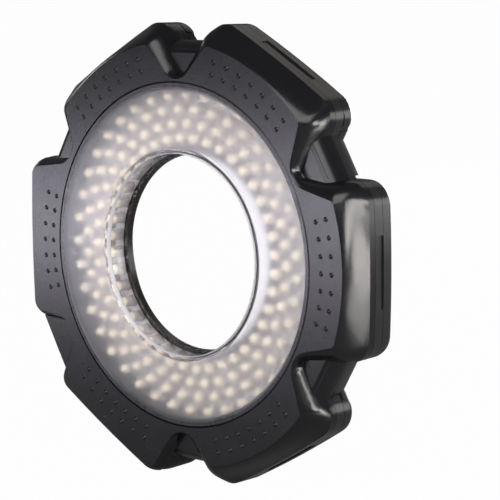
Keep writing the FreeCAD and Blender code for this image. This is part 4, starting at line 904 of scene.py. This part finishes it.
class OBJECT_OT_ring_light_cells(bpy.types.Operator):
    """Cells, contact plates and coiled contact springs"""

    bl_idname = "object.ring_light_cells"
    bl_label = "Cells and contacts"

    def execute(self, context):
        sizes = context.scene.light_sizes
        colours = context.scene.light_colours
        steel = metal("contact_steel", CONTACT_STEEL, rough=0.24)
        finishes = (
            plain_plastic("cell_sleeve", tuple(colours.sleeve), rough=0.26, grain=900.0,
                          height=0.000006),
            plain_plastic("cell_band", tuple(colours.band), rough=0.30, grain=900.0,
                          height=0.000006),
            metal("cell_steel", CELL_STEEL, rough=0.22),
        )
        for lobe, node in enumerate(CELLS):
            cell = self.cell(sizes)
            dress(cell, *finishes)
            self.paint(cell, sizes)
            self.set_in_lobe(cell, lobe)
            smooth(cell, angle=35.0)
            stand_for(cell, "cell_%d" % (lobe + 1), node, "housing")
        coils = round_ring(self.coil(sizes), [LOBE_STEP * lobe for lobe in range(LOBES)])
        smooth(coils, angle=60.0)
        dress(coils, steel)
        stand_for(coils, "contact_coils", "contact_springs", "housing")
        dress(frame["nodes"]["contact_plates"], steel)
        return {"FINISHED"}

    def cell(self, sizes):
        """A cell on the Z axis: crimped sleeve, steel ends, insulating step and nub."""
        radius = sizes.cell_radius
        half = sizes.cell_length / 2.0
        skin = sizes.cell_skin
        nub = sizes.nub_radius
        shoulder = half - sizes.nub_length
        crimp = (radius - skin) * 0.90
        plate = (radius - skin) * 0.86
        dish = nub * 1.2
        dish_edge = nub * 1.35
        well = nub * 1.5
        nub_foot = nub * 1.3
        profile = [
            (0.0, -half + skin), (dish, -half + skin), (dish_edge, -half),
            (plate, -half), (crimp, -half + skin), (radius - skin * 3, -half + skin),
            (radius - skin, -half + skin * 2), (radius, -half + skin * 4),
            (radius, shoulder - sizes.band_long), (radius, shoulder - skin * 4),
            (radius - skin, shoulder - skin * 2), (radius - skin * 3, shoulder - skin),
            (crimp, shoulder - skin), (plate, shoulder - skin * 2),
            (well, shoulder - skin * 2), (nub_foot, shoulder - skin),
            (nub, shoulder), (nub, half - skin * 2), (nub - skin * 2, half), (0.0, half)]
        return turned("cell", profile + profile[:1], CELL_STEPS, axis="Z")

    def paint(self, cell, sizes):
        """Give the band and the steel ends their materials."""
        half = sizes.cell_length / 2.0
        shoulder = half - sizes.nub_length
        rim = sizes.cell_radius * CELL_END
        edit(cell)
        pick_faces(lambda centre, normal: shoulder - sizes.band_long < centre.z
                   and Vector((centre.x, centre.y)).length > rim)
        cell.active_material_index = 1
        bpy.ops.object.material_slot_assign()
        pick_faces(lambda centre, normal: abs(centre.z) > shoulder - sizes.cell_skin * 3
                   and Vector((centre.x, centre.y)).length < rim)
        cell.active_material_index = 2
        bpy.ops.object.material_slot_assign()
        rest()

    def set_in_lobe(self, cell, lobe):
        low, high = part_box("battery_1")
        middle = (low + high) / 2.0
        cell.data.transform(Matrix.Translation((middle.x, middle.y, 0)))
        cell.data.transform(Matrix.Rotation(-LOBE_STEP * lobe, 4, "Y"))

    def coil(self, sizes):
        """The spring at the first lobe's cell: a tapering helix, closed at both ends."""
        low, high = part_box("battery_1")
        middle = (low + high) / 2.0
        wire = sizes.coil_wire
        foot = low.z - sizes.coil_long + wire
        lift = sizes.coil_long - wire * 2.0
        steps = COIL_STEPS * COIL_TURNS
        curve = bpy.data.curves.new("coil", "CURVE")
        curve.dimensions = "3D"
        curve.bevel_depth = wire
        curve.bevel_resolution = 2
        curve.use_fill_caps = True
        line = curve.splines.new("POLY")
        line.points.add(steps)
        for step in range(steps + 1):
            part = step / steps
            turn = math.tau * COIL_TURNS * part
            rise = (part * COIL_TURNS - COIL_CLOSED) / (COIL_TURNS - COIL_CLOSED * 2.0)
            rise = min(max(rise, 0.0), 1.0)
            reach = sizes.coil_wide + (sizes.coil_narrow - sizes.coil_wide) * part
            line.points[step].co = (middle.x + reach * math.cos(turn),
                                    middle.y + reach * math.sin(turn), foot + lift * rise, 1.0)
        coil = bpy.data.objects.new("coil", curve)
        bpy.context.scene.collection.objects.link(coil)
        only(coil)
        bpy.ops.object.convert(target="MESH")
        return bpy.context.object


class OBJECT_OT_ring_light_electronics(bpy.types.Operator):
    """Driver board and its parts"""

    bl_idname = "object.ring_light_electronics"
    bl_label = "Electronics"

    def execute(self, context):
        nodes = frame["nodes"]
        green = board_lacquer("board_green", BOARD_GREEN, TRACK_GREEN)
        dress(nodes["driver_board"], green)
        dress(nodes["control_board"], green)
        dress(nodes["driver_coil"], metal("copper_wire", COPPER, rough=0.32, grain=9000.0))
        dress(nodes["driver_capacitor"], metal("capacitor_can", ALUMINIUM, rough=0.22))
        dress(nodes["driver_chip"],
              plain_plastic("chip_black", CHIP_BLACK, rough=0.5, grain=3000.0))
        black = plain_plastic("component_plastic", PART_BLACK, rough=0.35, grain=2000.0)
        for name in ("dimmer_potentiometer", "power_socket", "power_switch_body"):
            dress(nodes[name], black)
        return {"FINISHED"}


class OBJECT_OT_ring_light_controls(bpy.types.Operator):
    """Dimmer wheel and power switch knob"""

    bl_idname = "object.ring_light_controls"
    bl_label = "Controls"

    def execute(self, context):
        sizes = context.scene.light_sizes
        black = plain_plastic("control_plastic", CONTROL_BLACK, rough=0.38, grain=2500.0)
        dress(frame["nodes"]["dimmer_wheel"], black)
        knob = self.knob(sizes)
        dress(knob, black)
        stand_for(knob, "switch_knob", "power_switch_knob", "power_slide")
        return {"FINISHED"}

    def knob(self, sizes):
        """Switch knob: a rounded block whose outer end is cut into finger ridges."""
        outer = sizes.knob_out
        inner = outer - sizes.knob_long
        low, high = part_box("power_switch_knob")
        deselect()
        bpy.ops.mesh.primitive_cube_add(size=1.0)
        knob = bpy.context.object
        knob.scale = (outer - inner, high.y - low.y, sizes.knob_wide)
        knob.location = ((outer + inner) / 2.0, (low.y + high.y) / 2.0,
                         sizes.knob_low + sizes.knob_wide / 2.0)
        settle(knob)
        edit(knob)
        pitch = sizes.knob_wide / (KNOB_RIDGES * 2)
        for ridge in range(1, KNOB_RIDGES * 2):
            cut = sizes.knob_low + pitch * ridge
            bpy.ops.mesh.select_all(action="SELECT")
            bpy.ops.mesh.bisect(plane_co=(0, 0, cut), plane_no=(0, 0, 1))
        pick_faces(lambda centre, normal: normal.x > ALIGNED
                   and int((centre.z - sizes.knob_low) / pitch) % 2 == 1)
        groove = (-pitch * KNOB_GROOVE, 0, 0)
        bpy.ops.mesh.extrude_region_move(TRANSFORM_OT_translate={"value": groove})
        rest()
        add_modifier(knob, "BEVEL", width=pitch * KNOB_ROUND, segments=2, limit_method="ANGLE")
        knob.data.transform(Matrix.Rotation(-POD_ANGLE, 4, "Y"))
        tidy_normals(knob)
        smooth(knob)
        return knob


class OBJECT_OT_ring_light_screws(bpy.types.Operator):
    """Case screws with a cross recess, and board screws"""

    bl_idname = "object.ring_light_screws"
    bl_label = "Screws"

    def execute(self, context):
        sizes = context.scene.light_sizes
        angles = [math.radians(degrees) for degrees in SCREW_ANGLES]
        screws = round_ring(self.case_screw(sizes), angles)
        smooth(screws, angle=35.0)
        dress(screws, metal("screw_black", SCREW_BLACK, rough=0.30))
        stand_for(screws, "cross_screws", "case_screws", "housing")
        dress(frame["nodes"]["board_screws"], metal("screw_steel", SCREW_STEEL, rough=0.25))
        return {"FINISHED"}

    def case_screw(self, sizes):
        """A pan-head screw with a cross recess, at the first place along X."""
        low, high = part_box("case_screws")
        head = sizes.screw_head
        shank = sizes.screw_shank
        bevel = sizes.screw_head_bevel
        seat = high.y - sizes.screw_head_high
        profile = [
            (0.0, low.y), (shank * 0.5, low.y), (shank, low.y + sizes.screw_point),
            (shank, seat), (head, seat), (head, high.y - bevel * 1.6),
            (head - bevel * 0.4, high.y - bevel * 0.7), (head - bevel * 1.4, high.y - bevel * 0.2),
            (head * 0.45, high.y), (0.0, high.y)]
        screw = turned("screw", profile + profile[:1], SCREW_STEPS)
        blade = (sizes.cross_wide, sizes.cross_long)
        for wide, long in (blade, blade[::-1]):
            deselect()
            bpy.ops.mesh.primitive_cube_add(size=1.0)
            bar = bpy.context.object
            bar.scale = (wide, sizes.cross_deep * 2.0, long)
            bar.location = (0, high.y, 0)
            settle(bar)
            add_modifier(screw, "BOOLEAN", object=bar, operation="DIFFERENCE", solver="EXACT")
            bpy.data.objects.remove(bar)
        screw.data.transform(Matrix.Translation((sizes.screw_out, 0, 0)))
        return screw


class VIEW3D_PT_ring_light(bpy.types.Panel):
    """Lists the pieces of the ring light"""

    bl_label = "Ring light"
    bl_space_type = "VIEW_3D"
    bl_region_type = "UI"
    bl_category = "Ring light"

    def draw(self, context):
        for operator in OPERATORS:
            self.layout.operator(operator.bl_idname)


OPERATORS = (
    OBJECT_OT_ring_light_stage,
    OBJECT_OT_ring_light_shells,
    OBJECT_OT_ring_light_window,
    OBJECT_OT_ring_light_leds,
    OBJECT_OT_ring_light_cells,
    OBJECT_OT_ring_light_electronics,
    OBJECT_OT_ring_light_controls,
    OBJECT_OT_ring_light_screws,
)
CLASSES = (LightSizes, LightColours, *OPERATORS, VIEW3D_PT_ring_light)


def register():
    for item in CLASSES:
        bpy.utils.register_class(item)
    bpy.types.Scene.light_sizes = bpy.props.PointerProperty(type=LightSizes)
    bpy.types.Scene.light_colours = bpy.props.PointerProperty(type=LightColours)


def unregister():
    del bpy.types.Scene.light_colours
    del bpy.types.Scene.light_sizes
    for item in reversed(CLASSES):
        bpy.utils.unregister_class(item)


def main():
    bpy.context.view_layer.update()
    register()
    bpy.ops.object.ring_light_stage()
    bpy.ops.object.ring_light_shells()
    bpy.ops.object.ring_light_window()
    bpy.ops.object.ring_light_leds()
    bpy.ops.object.ring_light_cells()
    bpy.ops.object.ring_light_electronics()
    bpy.ops.object.ring_light_controls()
    bpy.ops.object.ring_light_screws()


if __name__ == "__main__":
    main()
